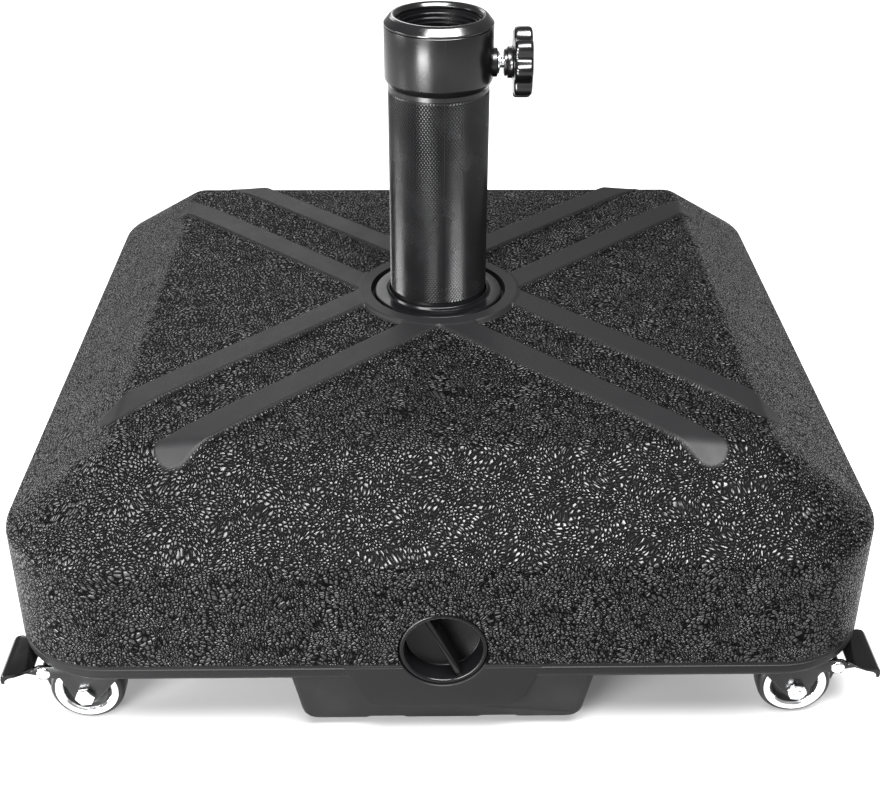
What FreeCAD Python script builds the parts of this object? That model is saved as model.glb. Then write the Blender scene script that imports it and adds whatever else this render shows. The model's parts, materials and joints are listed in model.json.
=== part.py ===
import FreeCAD, Part
import math
import os
import Sketcher
from FreeCAD import Placement, Rotation, Vector

# Mobile parasol base: a fillable blow-moulded tank on four braked swivel casters, with a
# pole tube, a clamp knob and a screw-in fill plug.
# Millimetres, +Z up. The origin is on the floor, on the axis of the pole tube.
# -Y is the side with the fill plug, +X is the side with the clamp knob.

doc = FreeCAD.newDocument("ParasolBase")
sheet = doc.addObject("Spreadsheet::Sheet", "Sizes")

SIZES = {
    # tank
    "tank_half": 280, "corner_radius": 75, "rim_z": 50, "rim_round": 5, "edge_z": 140, "edge_round": 6,
    "crest_half": 211, "crest_z": 187, "crest_round": 14, "dome_rise": 3, "wall": 4, "rib_offset": 31.4,
    "rib_width": 23, "rib_height": 3, "rib_tip": 286, "rib_round": 6, "boss_radius": 61,
    "boss_top": 193, "seat_radius": 51, "seat_z": 185, "well_radius": 36.5, "well_floor": 16,
    "column_radius": 42, "seat_pad": 55, "keel_top_half": 99.5, "keel_half": 91, "keel_z": 7,
    "keel_end_top": 278, "keel_end": 271, "keel_round": 12, "panel_depth": 12, "panel_top": 62,
    "panel_round": 8, "groove_offset": 37, "groove_width": 28, "groove_depth": 3,
    # fill plug, on the front wall
    "plug_z": 74, "plug_rim_radius": 28.5, "plug_rim_depth": 3, "plug_radius": 26.5, "plug_length": 22,
    "plug_recess": 25, "plug_recess_depth": 15, "plug_bar": 4, "plug_bar_sunk": 2, "plug_bar_tilt": 25,
    "plug_face": 1.0, "gasket_depth": 1.5, "plug_rim_play": 0.3, "plug_play": 0.1, "neck_wall": 4,
    "panel_low": 28, "panel_top_half": 64, "panel_low_half": 48,
    # pole tube
    "tube_foot_radius": 36.2, "tube_radius": 35.5, "tube_top": 350, "collar_z": 356.5,
    "collar_radius": 38.3, "collar_top": 394, "spigot_radius": 32, "ring_gap": 0.2, "spigot_top": 396.5,
    "pole_bore": 25, "bore_floor": 22, "bush_seat": 28, "bush_z": 373, "bush_top": 394.5,
    "bush_lead": 1.5, "ring_radius": 38.4, "ring_edge_z": 395.5, "ring_top_radius": 32.5,
    "mouth_radius": 29.3, "mouth_z": 401, "disc_radius": 48.2, "disc_edge": 2, "fit": 0.05, "past": 1,
    "lip_radius": 37.9, "lip_z": 194.6,
    # clamp knob, along +X
    "knob_z": 367, "knob_boss_radius": 10, "knob_boss_face": 41, "insert_radius": 6.5,
    "insert_in": 31, "insert_flange": 8, "pad_play": 0.1, "boss_sunk": 3, "lobe_sunk": 0.6,
    "insert_face": 42.5, "screw_radius": 4, "pad_radius": 5.5, "pad_in": 25.2, "pad_out": 29,
    "screw_out": 60, "hub_radius": 11, "hub_in": 45, "disc_in": 51.5, "disc_out": 65, "knob_radius": 25,
    "lobe_count": 8, "lobe_radius": 7,
    # casters: the stem is the swivel axis, and the wheel trails outward by "trail"
    "caster_across": 217, "caster_along": 250, "pocket_radius": 21, "pocket_z": 64, "pocket_boss": 27,
    "insert_boss": 11, "stem_insert": 7.5, "stem_radius": 4.9, "stem_top": 84, "stem_head": 7,
    "stem_low": 48.2, "stem_head_top": 50.8, "stem_hex": 8.5, "cup_radius": 18, "cup_bore": 5,
    "cup_low": 54.6, "cup_inside": 58, "cup_top": 60, "cup_wall": 1.6, "ball_radius": 2.25,
    "ball_circle": 12.5, "ball_z": 55.68, "ball_count": 12, "crown_radius": 17, "crown_low": 51,
    "crown_top": 53.4, "fork_bore": 4.95, "trail": 18, "wheel_radius": 24.5, "tread_width": 18,
    "tread_round": 4, "tyre_shoulder": 2.5, "rim_radius": 18.5, "rim_inside": 15.5, "hub_width": 22.6,
    "hub_boss": 8, "web": 6, "hub_bore": 3.05, "axle_radius": 3, "axle_hex": 5.8, "axle_head": 4,
    "axle_end": 18.5, "cheek_gap": 23, "cheek_thick": 2, "cheek_neck": 10.5, "cheek_shoulder": 14,
    "cheek_ear": 5, "cheek_tab": 11, "cheek_foot": 7.5, "cheek_rise": 17, "rivet_x": 43,
    "rivet_z": 43.5, "rivet_radius": 2.5, "rivet_head": 4.5, "rivet_head_depth": 1.5,
    "pedal_bore": 2.55, "pedal_gap": 18.4, "pedal_across": 22.6, "ear_half": 4, "ear_low": 6.5,
    "tread_in": 49, "tread_out": 70, "tread_span": 40, "tread_top": 48, "tread_thick": 2.5,
    "tread_lip_z": 40, "shoe_x": 40.3, "shoe_z": 37.2, "shoe_length": 3.2,
}
for row, (name, value) in enumerate(SIZES.items(), start=1):
    sheet.set(f"A{row}", name)
    sheet.set(f"B{row}", str(value))
    sheet.setAlias(f"B{row}", name)
doc.recompute()

NODES = []                                  # every finished sub-part, in order


def size(name):
    return float(getattr(sheet, name))


def expr(text):
    """An expression with every size name in it pointed at the spreadsheet."""
    words = text.replace("(", " ( ").replace(")", " ) ").split()
    return " ".join(f"Sizes.{word}" if word in SIZES else word for word in words)


def number(formula):
    """What a formula of the sizes comes to."""
    return float(sheet.evalExpression(expr(formula)))


def bind(thing, **formulas):
    for prop, formula in formulas.items():
        thing.setExpression(prop, expr(formula))
    return thing


def finish(thing, label, placement=None):
    """Names a sub-part and puts it in its place."""
    thing.Label = label
    if placement is not None:
        thing.Placement = placement
    NODES.append(thing)
    return thing


# ---- sketch-based helpers: every corner of an outline is a pair of formulas ----

def outline_sketch(body, plane, corners):
    """A closed outline of straight lines; each corner is bound to two formulas of the sizes."""
    sketch = body.newObject("Sketcher::SketchObject", "Outline")
    origin = [f for f in body.Origin.OriginFeatures if f.Role == plane][0]
    sketch.AttachmentSupport = (origin, [""])
    sketch.MapMode = "FlatFace"
    points = [Vector(number(u), number(v), 0) for u, v in corners]
    count = len(points)
    for i in range(count):
        sketch.addGeometry(Part.LineSegment(points[i], points[(i + 1) % count]), False)
    for i in range(count):
        sketch.addConstraint(Sketcher.Constraint("Coincident", i, 2, (i + 1) % count, 1))
    for i, (u, v) in enumerate(corners):
        across, upright = ("DistanceX", -2, u, points[i].x), ("DistanceY", -1, v, points[i].y)
        for kind, axis, formula, value in (across, upright):
            if abs(value) < 1e-9:
                sketch.addConstraint(Sketcher.Constraint("PointOnObject", i, 1, axis))
                continue
            index = sketch.addConstraint(Sketcher.Constraint(kind, -1, 1, i, 1, value))
            sketch.setExpression(f"Constraints[{index}]", expr(formula))
    return sketch


def turned(label, corners):
    """A solid of revolution: corners are (radius, height) formulas, turned about the sketch's upright."""
    body = doc.addObject("PartDesign::Body", label)
    sketch = outline_sketch(body, "XZ_Plane", corners)
    turn = body.newObject("PartDesign::Revolution", "Turn")
    turn.Profile = sketch
    turn.ReferenceAxis = (sketch, ["V_Axis"])
    turn.Angle = 360
    body.Tip = turn
    return body


def plate(label, corners, thickness, placement):
    """An outline in (x, z), padded along -y by its thickness."""
    body = doc.addObject("PartDesign::Body", label)
    pad = body.newObject("PartDesign::Pad", "Plate")
    pad.Profile = outline_sketch(body, "XZ_Plane", corners)
    bind(pad, Length=thickness)
    body.Tip = pad
    body.Placement = placement
    return body


def round_bar(name, radius, height, placement):
    """A cylinder whose two sizes are formulas."""
    bar = doc.addObject("Part::Cylinder", name)
    bind(bar, Radius=radius, Height=height)
    bar.Placement = placement
    return bar


def joined(kind, name, pieces):
    """Part::MultiFuse or Part::MultiCommon of several pieces."""
    result = doc.addObject(f"Part::{kind}", name)
    result.Shapes = pieces
    return result


def without(name, base, tool):
    cut = doc.addObject("Part::Cut", name)
    cut.Base = base
    cut.Tool = tool
    return cut


def at(x=0.0, y=0.0, z=0.0, axis=Vector(0, 0, 1), angle=0.0):
    return Placement(Vector(x, y, z), Rotation(axis, angle))


UP = Vector(0, 0, 1)
ACROSS = Vector(1, 0, 0)
ALONG = Vector(0, 1, 0)


# ---- tank: one blow-moulded hollow shell ----
# Its walls are one profile (half-width, height) run straight along all four sides and turned
# about the corner axes, so that the bevel is a cone at each corner.

def rounded(points, radii):
    """A closed wire through points (x, z), with an arc of the given radius at each corner."""
    count = len(points)
    ends = []
    for i, point in enumerate(points):
        if not radii[i]:
            ends.append((point, point, None))
            continue
        back = (points[i - 1] - point).normalize()
        ahead = (points[(i + 1) % count] - point).normalize()
        half_angle = back.getAngle(ahead) / 2
        reach = radii[i] / math.tan(half_angle)
        inward = (back + ahead).normalize()
        middle = point + inward * (radii[i] / math.sin(half_angle) - radii[i])
        ends.append((point + back * reach, point + ahead * reach, middle))
    edges = []
    for i in range(count):
        start, stop, middle = ends[i]
        if middle is not None:
            edges.append(Part.Arc(start, middle, stop).toShape())
        following = ends[(i + 1) % count][0]
        if stop.distanceToPoint(following) > 1e-6:
            edges.append(Part.LineSegment(stop, following).toShape())
    return Part.Wire(edges)


def tank_form(half, low, edge, crest_half, crest, low_round, edge_round, crest_round, rise):
    """The solid of the tank's outside, or of its hollow, for one set of profile sizes."""
    axis_at = size("tank_half") - size("corner_radius")
    shoulder = crest + rise * (crest_half - axis_at) / crest_half
    side = [Vector(half, 0, low), Vector(half, 0, edge), Vector(crest_half, 0, crest)]
    mirrored = [Vector(-p.x, 0, p.z) for p in reversed(side)]
    across = Part.Face(rounded(side + [Vector(0, 0, crest + rise)] + mirrored,
                               [low_round, edge_round, crest_round, 0, crest_round, edge_round, low_round]))
    bar_x = across.extrude(Vector(0, 2 * half, 0))
    bar_x.translate(Vector(0, -half, 0))
    bar_y = bar_x.copy()
    bar_y.rotate(Vector(0, 0, 0), UP, 90)
    corner_face = Part.Face(rounded(
        [Vector(axis_at, 0, low)] + side + [Vector(axis_at, 0, shoulder)],
        [0, low_round, edge_round, crest_round, 0]))
    form = bar_x.common(bar_y)
    for turn in range(4):
        block = Part.makeBox(half, half, 2 * crest, Vector(axis_at, axis_at, 0))
        block.rotate(Vector(0, 0, 0), UP, 90 * turn)
        form = form.cut(block)
        corner = corner_face.copy()
        corner.translate(Vector(0, axis_at, 0))
        corner = corner.revolve(Vector(axis_at, axis_at, 0), UP, 90)
        corner.rotate(Vector(0, 0, 0), UP, 90 * turn)
        form = form.fuse(corner)
    return form.removeSplitter()


def box_between(low, high):
    return Part.makeBox(high[0] - low[0], high[1] - low[1], high[2] - low[2], Vector(*low))


def keel_form(inset):
    """The deep middle part of the tank, or the hollow inside it when inset is the wall."""
    top = size("rim_z") + size("rim_round") + inset
    floor = size("keel_z") + inset
    solids = []
    for upper, lower, turn in (("keel_top_half", "keel_half", 0), ("keel_end_top", "keel_end", 90)):
        wide, narrow = size(upper) - inset, size(lower) - inset
        reach = size("tank_half")
        outline = [Vector(wide, 0, top), Vector(-wide, 0, top),
                   Vector(-narrow, 0, floor), Vector(narrow, 0, floor)]
        low_round = size("keel_round") - inset
        section = Part.Face(rounded(outline, [0, 0, low_round, low_round]))
        bar = section.extrude(Vector(0, 2 * reach, 0))
        bar.translate(Vector(0, -reach, 0))
        bar.rotate(Vector(0, 0, 0), UP, turn)
        solids.append(bar)
    return solids[0].common(solids[1])


def rib_bands():
    """Four pairs of parallel bands along the diagonals."""
    bands = []
    for turn in range(4):
        for side in (-1, 1):
            middle = side * size("rib_offset")
            half = size("rib_width") / 2
            band = box_between((size("seat_radius"), middle - half, size("edge_z")),
                               (size("rib_tip"), middle + half, size("boss_top") + size("wall")))
            band.rotate(Vector(0, 0, 0), UP, 45 + 90 * turn)
            bands.append(band)
    return bands


def groove_boxes(skin):
    """The two grooves along the keel's underside, or the same grown by a skin's thickness."""
    reach, end = size("groove_width") / 2 + skin, size("tank_half")
    top = size("keel_z") + size("groove_depth") + skin
    return [box_between((side * size("groove_offset") - reach, -end, 0),
                        (side * size("groove_offset") + reach, end, top)) for side in (-1, 1)]


def tank_shape():
    wall = size("wall")
    half, low, edge = size("tank_half"), size("rim_z"), size("edge_z")
    crest_half, crest, rise = size("crest_half"), size("crest_z"), size("dome_rise")
    slope = math.atan2(crest - edge, half - crest_half)
    outside = tank_form(half, low, edge, crest_half, crest,
                        size("rim_round"), size("edge_round"), size("crest_round"), rise)
    rib = size("rib_height")
    raised = tank_form(half, low, edge, crest_half - rib, crest + rib,
                       size("rim_round"), size("edge_round"), size("rib_round"), rise)
    top = size("boss_top")
    boss = Part.makeCylinder(size("boss_radius"), top - crest + wall, Vector(0, 0, crest - wall))
    for band in rib_bands():
        outside = outside.fuse(raised.common(band))
    outside = outside.fuse(boss).fuse(keel_form(0))
    low_half, top_half = size("panel_low_half"), size("panel_top_half")
    panel_low, panel_top, panel_round = size("panel_low"), size("panel_top"), size("panel_round")
    panel = Part.Face(rounded(
        [Vector(-low_half, 0, panel_low), Vector(low_half, 0, panel_low),
         Vector(top_half, 0, panel_top), Vector(-top_half, 0, panel_top)], [panel_round, panel_round, 0, 0]))
    panel.translate(Vector(0, -half + size("plug_face") / 2, 0))
    outside = outside.fuse(panel.extrude(Vector(0, size("panel_depth"), 0)))

    # the hollow, less what stands in it: the well's column, the casters' bosses and the fill neck
    hollow = tank_form(half - wall, low + wall, edge - wall * math.tan(math.pi / 4 - slope / 2),
                       crest_half - wall * math.tan(slope / 2), crest - wall,
                       0, size("edge_round") - wall, size("crest_round") - wall, rise)
    hollow = hollow.fuse(keel_form(wall))
    hollow = hollow.cut(Part.makeCylinder(size("column_radius"), top))
    hollow = hollow.cut(Part.makeCylinder(size("seat_pad"), top, Vector(0, 0, size("seat_z") - wall)))
    face = half - size("plug_face")
    neck_end = face - size("plug_length") - size("past")
    neck = Part.makeCylinder(size("plug_rim_radius") + size("neck_wall"), half - neck_end,
                             Vector(0, -half, size("plug_z")), ALONG)
    hollow = hollow.cut(neck)
    for ridge in groove_boxes(wall):
        hollow = hollow.cut(ridge)
    for x, y, _turn in CORNERS.values():
        hollow = hollow.cut(Part.makeCylinder(size("pocket_boss"), size("pocket_z") + wall, Vector(x, y, 0)))
        hollow = hollow.cut(Part.makeCylinder(size("insert_boss"), size("stem_top") + wall, Vector(x, y, 0)))
    shell = outside.cut(hollow)

    # holes: the well with the disc's seat, the fill neck, the caster pockets, and the keel's grooves
    shell = shell.cut(Part.makeCylinder(size("well_radius"), top, Vector(0, 0, size("well_floor"))))
    shell = shell.cut(Part.makeCylinder(size("seat_radius"), top, Vector(0, 0, size("seat_z"))))
    seat = size("plug_face") + size("plug_rim_depth") + size("gasket_depth")
    shell = shell.cut(Part.makeCylinder(size("plug_rim_radius") + size("plug_rim_play"), seat,
                                        Vector(0, -half, size("plug_z")), ALONG))
    shell = shell.cut(Part.makeCylinder(size("plug_radius") + size("plug_play"), half - neck_end + wall,
                                        Vector(0, -half, size("plug_z")), ALONG))
    for x, y, _turn in CORNERS.values():
        shell = shell.cut(Part.makeCylinder(size("pocket_radius"), size("pocket_z"), Vector(x, y, 0)))
        shell = shell.cut(Part.makeCylinder(size("stem_insert"), size("stem_top"), Vector(x, y, 0)))
    for groove in groove_boxes(0):
        shell = shell.cut(groove)
    return shell.removeSplitter()


# corner name: place of the swivel axis, and the turn that makes the wheel trail outward
CORNERS = {
    "front_left": (-size("caster_across"), -size("caster_along"), 180),
    "front_right": (size("caster_across"), -size("caster_along"), 0),
    "rear_left": (-size("caster_across"), size("caster_along"), 180),
    "rear_right": (size("caster_across"), size("caster_along"), 0),
}

tank = doc.addObject("Part::Feature", "tank_shell")
tank.Shape = tank_shape()
finish(tank, "tank_shell")


# ---- pole tube with its collar, the disc at its foot, the top ring and the bush in the mouth ----

finish(turned("foot_disc", [
    ("tube_foot_radius + fit", "seat_z"), ("disc_radius", "seat_z"),
    ("disc_radius", "boss_top - disc_edge"), ("disc_radius - disc_edge", "boss_top"),
    ("lip_radius", "boss_top"), ("lip_radius", "lip_z"), ("tube_foot_radius + fit", "lip_z")]), "foot_disc")

tube_body = turned("tube_body", [
    ("0", "well_floor"), ("tube_foot_radius", "well_floor"), ("tube_foot_radius", "boss_top"),
    ("tube_radius", "tube_top"), ("collar_radius", "collar_z"), ("collar_radius", "collar_top"),
    ("spigot_radius", "collar_top"), ("spigot_radius", "spigot_top"), ("bush_seat", "spigot_top"),
    ("bush_seat", "bush_z"), ("pole_bore", "bush_z"), ("pole_bore", "bore_floor"),
    ("0", "bore_floor")])


def along_knob(name, radius, start, end):
    """A cylinder on the knob's axis, from one distance off the tube's axis to another."""
    return round_bar(name, radius, f"{end} - ( {start} )", at(number(start), 0, size("knob_z"), ALONG, 90))


boss = along_knob("collar_boss", "knob_boss_radius", "insert_in + boss_sunk", "knob_boss_face")
tube = joined("MultiFuse", "tube_and_boss", [tube_body, boss])
tube = without("tube_less_insert", tube,
               along_knob("insert_hole", "insert_radius", "insert_in", "insert_face"))
tube = without("pole_tube", tube,
               along_knob("pad_hole", "pad_radius + pad_play", "pole_bore - 4 * past", "insert_in + past"))
finish(tube, "pole_tube")

finish(turned("top_ring", [
    ("spigot_radius + fit", "collar_top"), ("ring_radius", "collar_top"), ("ring_radius", "ring_edge_z"),
    ("ring_top_radius", "mouth_z"), ("mouth_radius", "mouth_z"), ("mouth_radius", "spigot_top + ring_gap"),
    ("spigot_radius + fit", "spigot_top + ring_gap")]), "top_ring")
finish(turned("mouth_bush", [
    ("pole_bore", "bush_z"), ("bush_seat - fit", "bush_z"), ("bush_seat - fit", "bush_top"),
    ("pole_bore + bush_lead", "bush_top"), ("pole_bore", "bush_top - bush_lead")]), "mouth_bush")


# ---- clamp knob: threaded insert in the collar, screw with its knob, and the pad on its tip ----

insert = joined("MultiFuse", "insert_form", [
    along_knob("insert_sleeve", "insert_radius", "insert_in", "insert_face"),
    along_knob("insert_collar", "insert_flange", "knob_boss_face", "insert_face")])
finish(without("knob_insert", insert, along_knob("insert_bore", "screw_radius + fit", "insert_in - past",
                                                 "insert_face + past")), "knob_insert")
finish(along_knob("clamp_pad", "pad_radius", "pad_in", "pad_out"), "clamp_pad")
finish(along_knob("clamp_screw", "screw_radius", "pad_out", "screw_out"), "clamp_screw")
lobes = []
lobe_at = size("knob_radius") - size("lobe_radius")
for i in range(int(size("lobe_count"))):
    angle = 2 * math.pi * i / size("lobe_count")
    y, z = lobe_at * math.sin(angle), size("knob_z") + lobe_at * math.cos(angle)
    place = at(size("disc_in"), y, z, ALONG, 90)
    lobes.append(round_bar(f"lobe_{i}", "lobe_radius", "disc_out - disc_in", place))
grip = joined("MultiFuse", "grip_form", lobes + [
    along_knob("knob_disc", "knob_radius - lobe_radius * lobe_sunk", "disc_in", "disc_out"),
    along_knob("knob_hub", "hub_radius", "hub_in", "disc_in + past")])
knob_bore = along_knob("knob_bore", "screw_radius", "hub_in - past", "screw_out")
finish(without("knob_grip", grip, knob_bore), "knob_grip")


# ---- fill plug with its gasket, facing -Y; built with its face up, then turned ----

PLUG_PLACE = Placement(Vector(0, number("plug_face + plug_length - tank_half"), size("plug_z")),
                       Rotation(ACROSS, 90))
cup = turned("plug_cup", [
    ("0", "0"), ("plug_radius", "0"), ("plug_radius", "plug_length - plug_rim_depth"),
    ("plug_rim_radius", "plug_length - plug_rim_depth"), ("plug_rim_radius", "plug_length"),
    ("plug_recess", "plug_length"), ("plug_recess", "plug_length - plug_recess_depth"),
    ("0", "plug_length - plug_recess_depth")])
bar = doc.addObject("Part::Box", "plug_bar")
bind(bar, Length="plug_bar", Width="plug_recess * 2 + past", Height="plug_recess_depth - plug_bar_sunk")
bar_turn = Rotation(UP, size("plug_bar_tilt"))
bar_corner = Vector(-number("plug_bar / 2"), -number("plug_recess + past / 2"), 0)
bar_floor = Vector(0, 0, number("plug_length - plug_recess_depth"))
bar.Placement = Placement(bar_turn.multVec(bar_corner) + bar_floor, bar_turn)
finish(joined("MultiFuse", "fill_plug", [cup, bar]), "fill_plug", PLUG_PLACE)
finish(turned("plug_gasket", [
    ("plug_radius + fit", "plug_length - plug_rim_depth - gasket_depth"),
    ("plug_rim_radius - plug_play", "plug_length - plug_rim_depth - gasket_depth"),
    ("plug_rim_radius - plug_play", "plug_length - plug_rim_depth"),
    ("plug_radius + fit", "plug_length - plug_rim_depth")]), "plug_gasket", PLUG_PLACE)


# ---- casters, each built about its swivel axis with the wheel trailing along +X ----

def hex_bar(name, across_corners, height, placement):
    prism = doc.addObject("Part::Prism", name)
    prism.Polygon = 6
    bind(prism, Circumradius=across_corners, Height=height)
    prism.Placement = placement
    return prism


def sideways(x, y, z):
    """A placement that lays a piece's upright along +Y, starting at y."""
    return at(x, y, z, ACROSS, -90)


def caster_stem(name):
    shank = turned(f"{name}_shank", [
        ("0", "stem_low"), ("stem_head", "stem_low"), ("stem_head", "stem_head_top"),
        ("stem_radius", "stem_head_top"), ("stem_radius", "stem_top"), ("0", "stem_top")])
    flange = hex_bar(f"{name}_hex", "stem_hex", "pocket_z - cup_top", at(z=size("cup_top")))
    return joined("MultiFuse", f"{name}_stem", [shank, flange])


def caster_insert(name):
    return turned(f"{name}_stem_insert", [
        ("stem_radius + fit", "pocket_z"), ("stem_insert", "pocket_z"),
        ("stem_insert", "stem_top"), ("stem_radius + fit", "stem_top")])


def caster_cup(name):
    return turned(f"{name}_race_cup", [
        ("cup_bore", "cup_inside"), ("cup_radius - cup_wall", "cup_inside"),
        ("cup_radius - cup_wall", "cup_low"), ("cup_radius", "cup_low"),
        ("cup_radius", "cup_top"), ("cup_bore", "cup_top")])


def caster_balls(name):
    balls = []
    for i in range(int(size("ball_count"))):
        angle = 2 * math.pi * i / size("ball_count")
        ball = doc.addObject("Part::Sphere", f"{name}_ball_{i}")
        bind(ball, Radius="ball_radius")
        ball.Placement = at(size("ball_circle") * math.cos(angle), size("ball_circle") * math.sin(angle),
                            size("ball_z"))
        balls.append(ball)
    ring = doc.addObject("Part::Compound", f"{name}_bearing_balls")
    ring.Links = balls
    return ring


CHEEK = [                                    # from the crown round the brake end and the axle boss
    ("- cheek_neck", "crown_top"), ("cheek_neck", "crown_top"), ("cheek_shoulder", "rivet_z + cheek_ear"),
    ("rivet_x + cheek_ear * 0.6", "rivet_z + cheek_ear"), ("rivet_x + cheek_ear", "rivet_z"),
    ("rivet_x + cheek_ear * 0.7", "rivet_z - cheek_ear"), ("rivet_x - cheek_ear / 2", "rivet_z - cheek_ear"),
    ("rivet_x - cheek_ear * 0.7", "rivet_z - cheek_tab"),
    ("rivet_x - cheek_ear", "rivet_z - cheek_ear * 0.9"),
    ("trail + cheek_foot * 2", "rivet_z - cheek_ear * 0.8"),
    ("trail + cheek_foot", "wheel_radius - cheek_foot / 2"),
    ("trail + cheek_foot / 2", "wheel_radius - cheek_foot"),
    ("trail - cheek_foot / 2", "wheel_radius - cheek_foot"),
    ("trail - cheek_foot", "wheel_radius - cheek_foot / 2"),
    ("- cheek_foot", "wheel_radius + cheek_rise"),
]


def caster_fork(name):
    crown = round_bar(f"{name}_crown", "crown_radius", "crown_top - crown_low", at(z=size("crown_low")))
    inner, thick = size("cheek_gap") / 2, size("cheek_thick")
    cheeks = [plate(f"{name}_cheek_{i}", CHEEK, "cheek_thick", at(y=y))
              for i, y in enumerate((inner + thick, -inner))]
    fork = joined("MultiFuse", f"{name}_fork_form", [crown] + cheeks)
    span = "cheek_gap + cheek_thick * 3"
    reach = -number(span) / 2
    holes = joined("MultiFuse", f"{name}_fork_holes", [
        round_bar(f"{name}_swivel_hole", "fork_bore", "crown_top", at(z=size("crown_low") - size("past"))),
        round_bar(f"{name}_axle_hole", "axle_radius", span,
                  sideways(size("trail"), reach, size("wheel_radius"))),
        round_bar(f"{name}_rivet_hole", "rivet_radius", span,
                  sideways(size("rivet_x"), reach, size("rivet_z")))])
    return without(f"{name}_fork", fork, holes)


def caster_tyre(name):
    half = "rim_radius + tyre_shoulder"
    tyre = turned(f"{name}_tyre", [
        ("rim_radius", "0"), (half, "0"), ("wheel_radius", "tread_round"),
        ("wheel_radius", "tread_width - tread_round"), (half, "tread_width"), ("rim_radius", "tread_width")])
    tyre.Placement = sideways(size("trail"), -size("tread_width") / 2, size("wheel_radius"))
    return tyre


def caster_hub(name):
    inset = "( hub_width - tread_width ) / 2"
    web_low, web_high = "( hub_width - web ) / 2", "( hub_width + web ) / 2"
    hub = turned(f"{name}_hub", [
        ("hub_bore", "0"), ("hub_boss", "0"), ("hub_boss", web_low), ("rim_inside", web_low),
        ("rim_inside", inset), ("rim_radius", inset), ("rim_radius", f"hub_width - {inset}"),
        ("rim_inside", f"hub_width - {inset}"), ("rim_inside", web_high), ("hub_boss", web_high),
        ("hub_boss", "hub_width"), ("hub_bore", "hub_width")])
    hub.Placement = sideways(size("trail"), -size("hub_width") / 2, size("wheel_radius"))
    return hub


def caster_axle_bolt(name):
    outer = number("cheek_gap / 2 + cheek_thick")
    head = hex_bar(f"{name}_bolt_head", "axle_hex", "axle_head",
                   sideways(size("trail"), outer, size("wheel_radius")))
    shank = round_bar(f"{name}_bolt_shank", "axle_radius", "axle_end + cheek_gap / 2 + cheek_thick + past",
                      sideways(size("trail"), -size("axle_end"), size("wheel_radius")))
    return joined("MultiFuse", f"{name}_axle_bolt", [head, shank])


def caster_axle_nut(name):
    start = -number("cheek_gap / 2 + cheek_thick + axle_head")
    nut = hex_bar(f"{name}_nut_form", "axle_hex", "axle_head",
                  sideways(size("trail"), start, size("wheel_radius")))
    bore = round_bar(f"{name}_nut_bore", "axle_radius", "axle_head * 3",
                     sideways(size("trail"), start - size("axle_head"), size("wheel_radius")))
    return without(f"{name}_axle_nut", nut, bore)


def caster_rivet(name):
    outer = number("cheek_gap / 2 + cheek_thick")
    shank = round_bar(f"{name}_rivet_shank", "rivet_radius", "cheek_gap + cheek_thick * 2",
                      sideways(size("rivet_x"), -outer, size("rivet_z")))
    heads = [round_bar(f"{name}_rivet_head_{i}", "rivet_head", "rivet_head_depth",
                       sideways(size("rivet_x"), y, size("rivet_z")))
             for i, y in enumerate((outer, -outer - size("rivet_head_depth")))]
    return joined("MultiFuse", f"{name}_brake_rivet", [shank] + heads)


EAR = [                                      # from the rivet's inboard side out to the tread
    ("rivet_x - ear_half", "rivet_z - ear_half"), ("rivet_x", "rivet_z - ear_low"),
    ("rivet_x + ear_half", "rivet_z - ear_half"),
    ("tread_in + ear_half * 2", "tread_top - tread_thick - ear_half"),
    ("tread_out - tread_thick - past", "tread_top - tread_thick - ear_half"),
    ("tread_out - tread_thick - past", "tread_top - tread_thick"), ("tread_in", "tread_top - tread_thick"),
    ("rivet_x + ear_half", "rivet_z + ear_half"), ("rivet_x - ear_half", "rivet_z + ear_half"),
]
TREAD = [                                    # flat plate with its outer lip bent down
    ("tread_in", "tread_top - tread_thick"), ("tread_out - tread_thick", "tread_top - tread_thick"),
    ("tread_out - tread_thick", "tread_lip_z"), ("tread_out", "tread_lip_z"),
    ("tread_out", "tread_top - past"), ("tread_out - past", "tread_top"), ("tread_in", "tread_top"),
]


def caster_pedal(name):
    wide, gap = size("pedal_across") / 2, size("pedal_gap") / 2
    ears = [plate(f"{name}_ear_{i}", EAR, "( pedal_across - pedal_gap ) / 2", at(y=y))
            for i, y in enumerate((wide, -gap))]
    tread = plate(f"{name}_tread", TREAD, "tread_span", at(y=size("tread_span") / 2))
    shoe = doc.addObject("Part::Box", f"{name}_shoe")
    bind(shoe, Length="shoe_length", Width="pedal_gap + past", Height="shoe_length")
    shoe.Placement = at(size("shoe_x"), -number("pedal_gap + past") / 2, size("shoe_z"))
    form = joined("MultiFuse", f"{name}_pedal_form", ears + [tread, shoe])
    bore = round_bar(f"{name}_pedal_bore", "pedal_bore", "pedal_across * 2",
                     sideways(size("rivet_x"), -size("pedal_across"), size("rivet_z")))
    return without(f"{name}_brake_pedal", form, bore)


CASTER_PIECES = {
    "stem": caster_stem, "stem_insert": caster_insert, "race_cup": caster_cup, "bearing_balls": caster_balls,
    "fork": caster_fork, "tyre": caster_tyre, "hub": caster_hub, "axle_bolt": caster_axle_bolt,
    "axle_nut": caster_axle_nut, "brake_rivet": caster_rivet, "brake_pedal": caster_pedal,
}
for corner, (x, y, turn) in CORNERS.items():
    swivel = at(x, y, 0, UP, turn)
    for piece, build in CASTER_PIECES.items():
        made = build(corner)
        finish(made, f"{corner}_{piece}", swivel.multiply(made.Placement))


# ---- recompute, check and write ----

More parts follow.
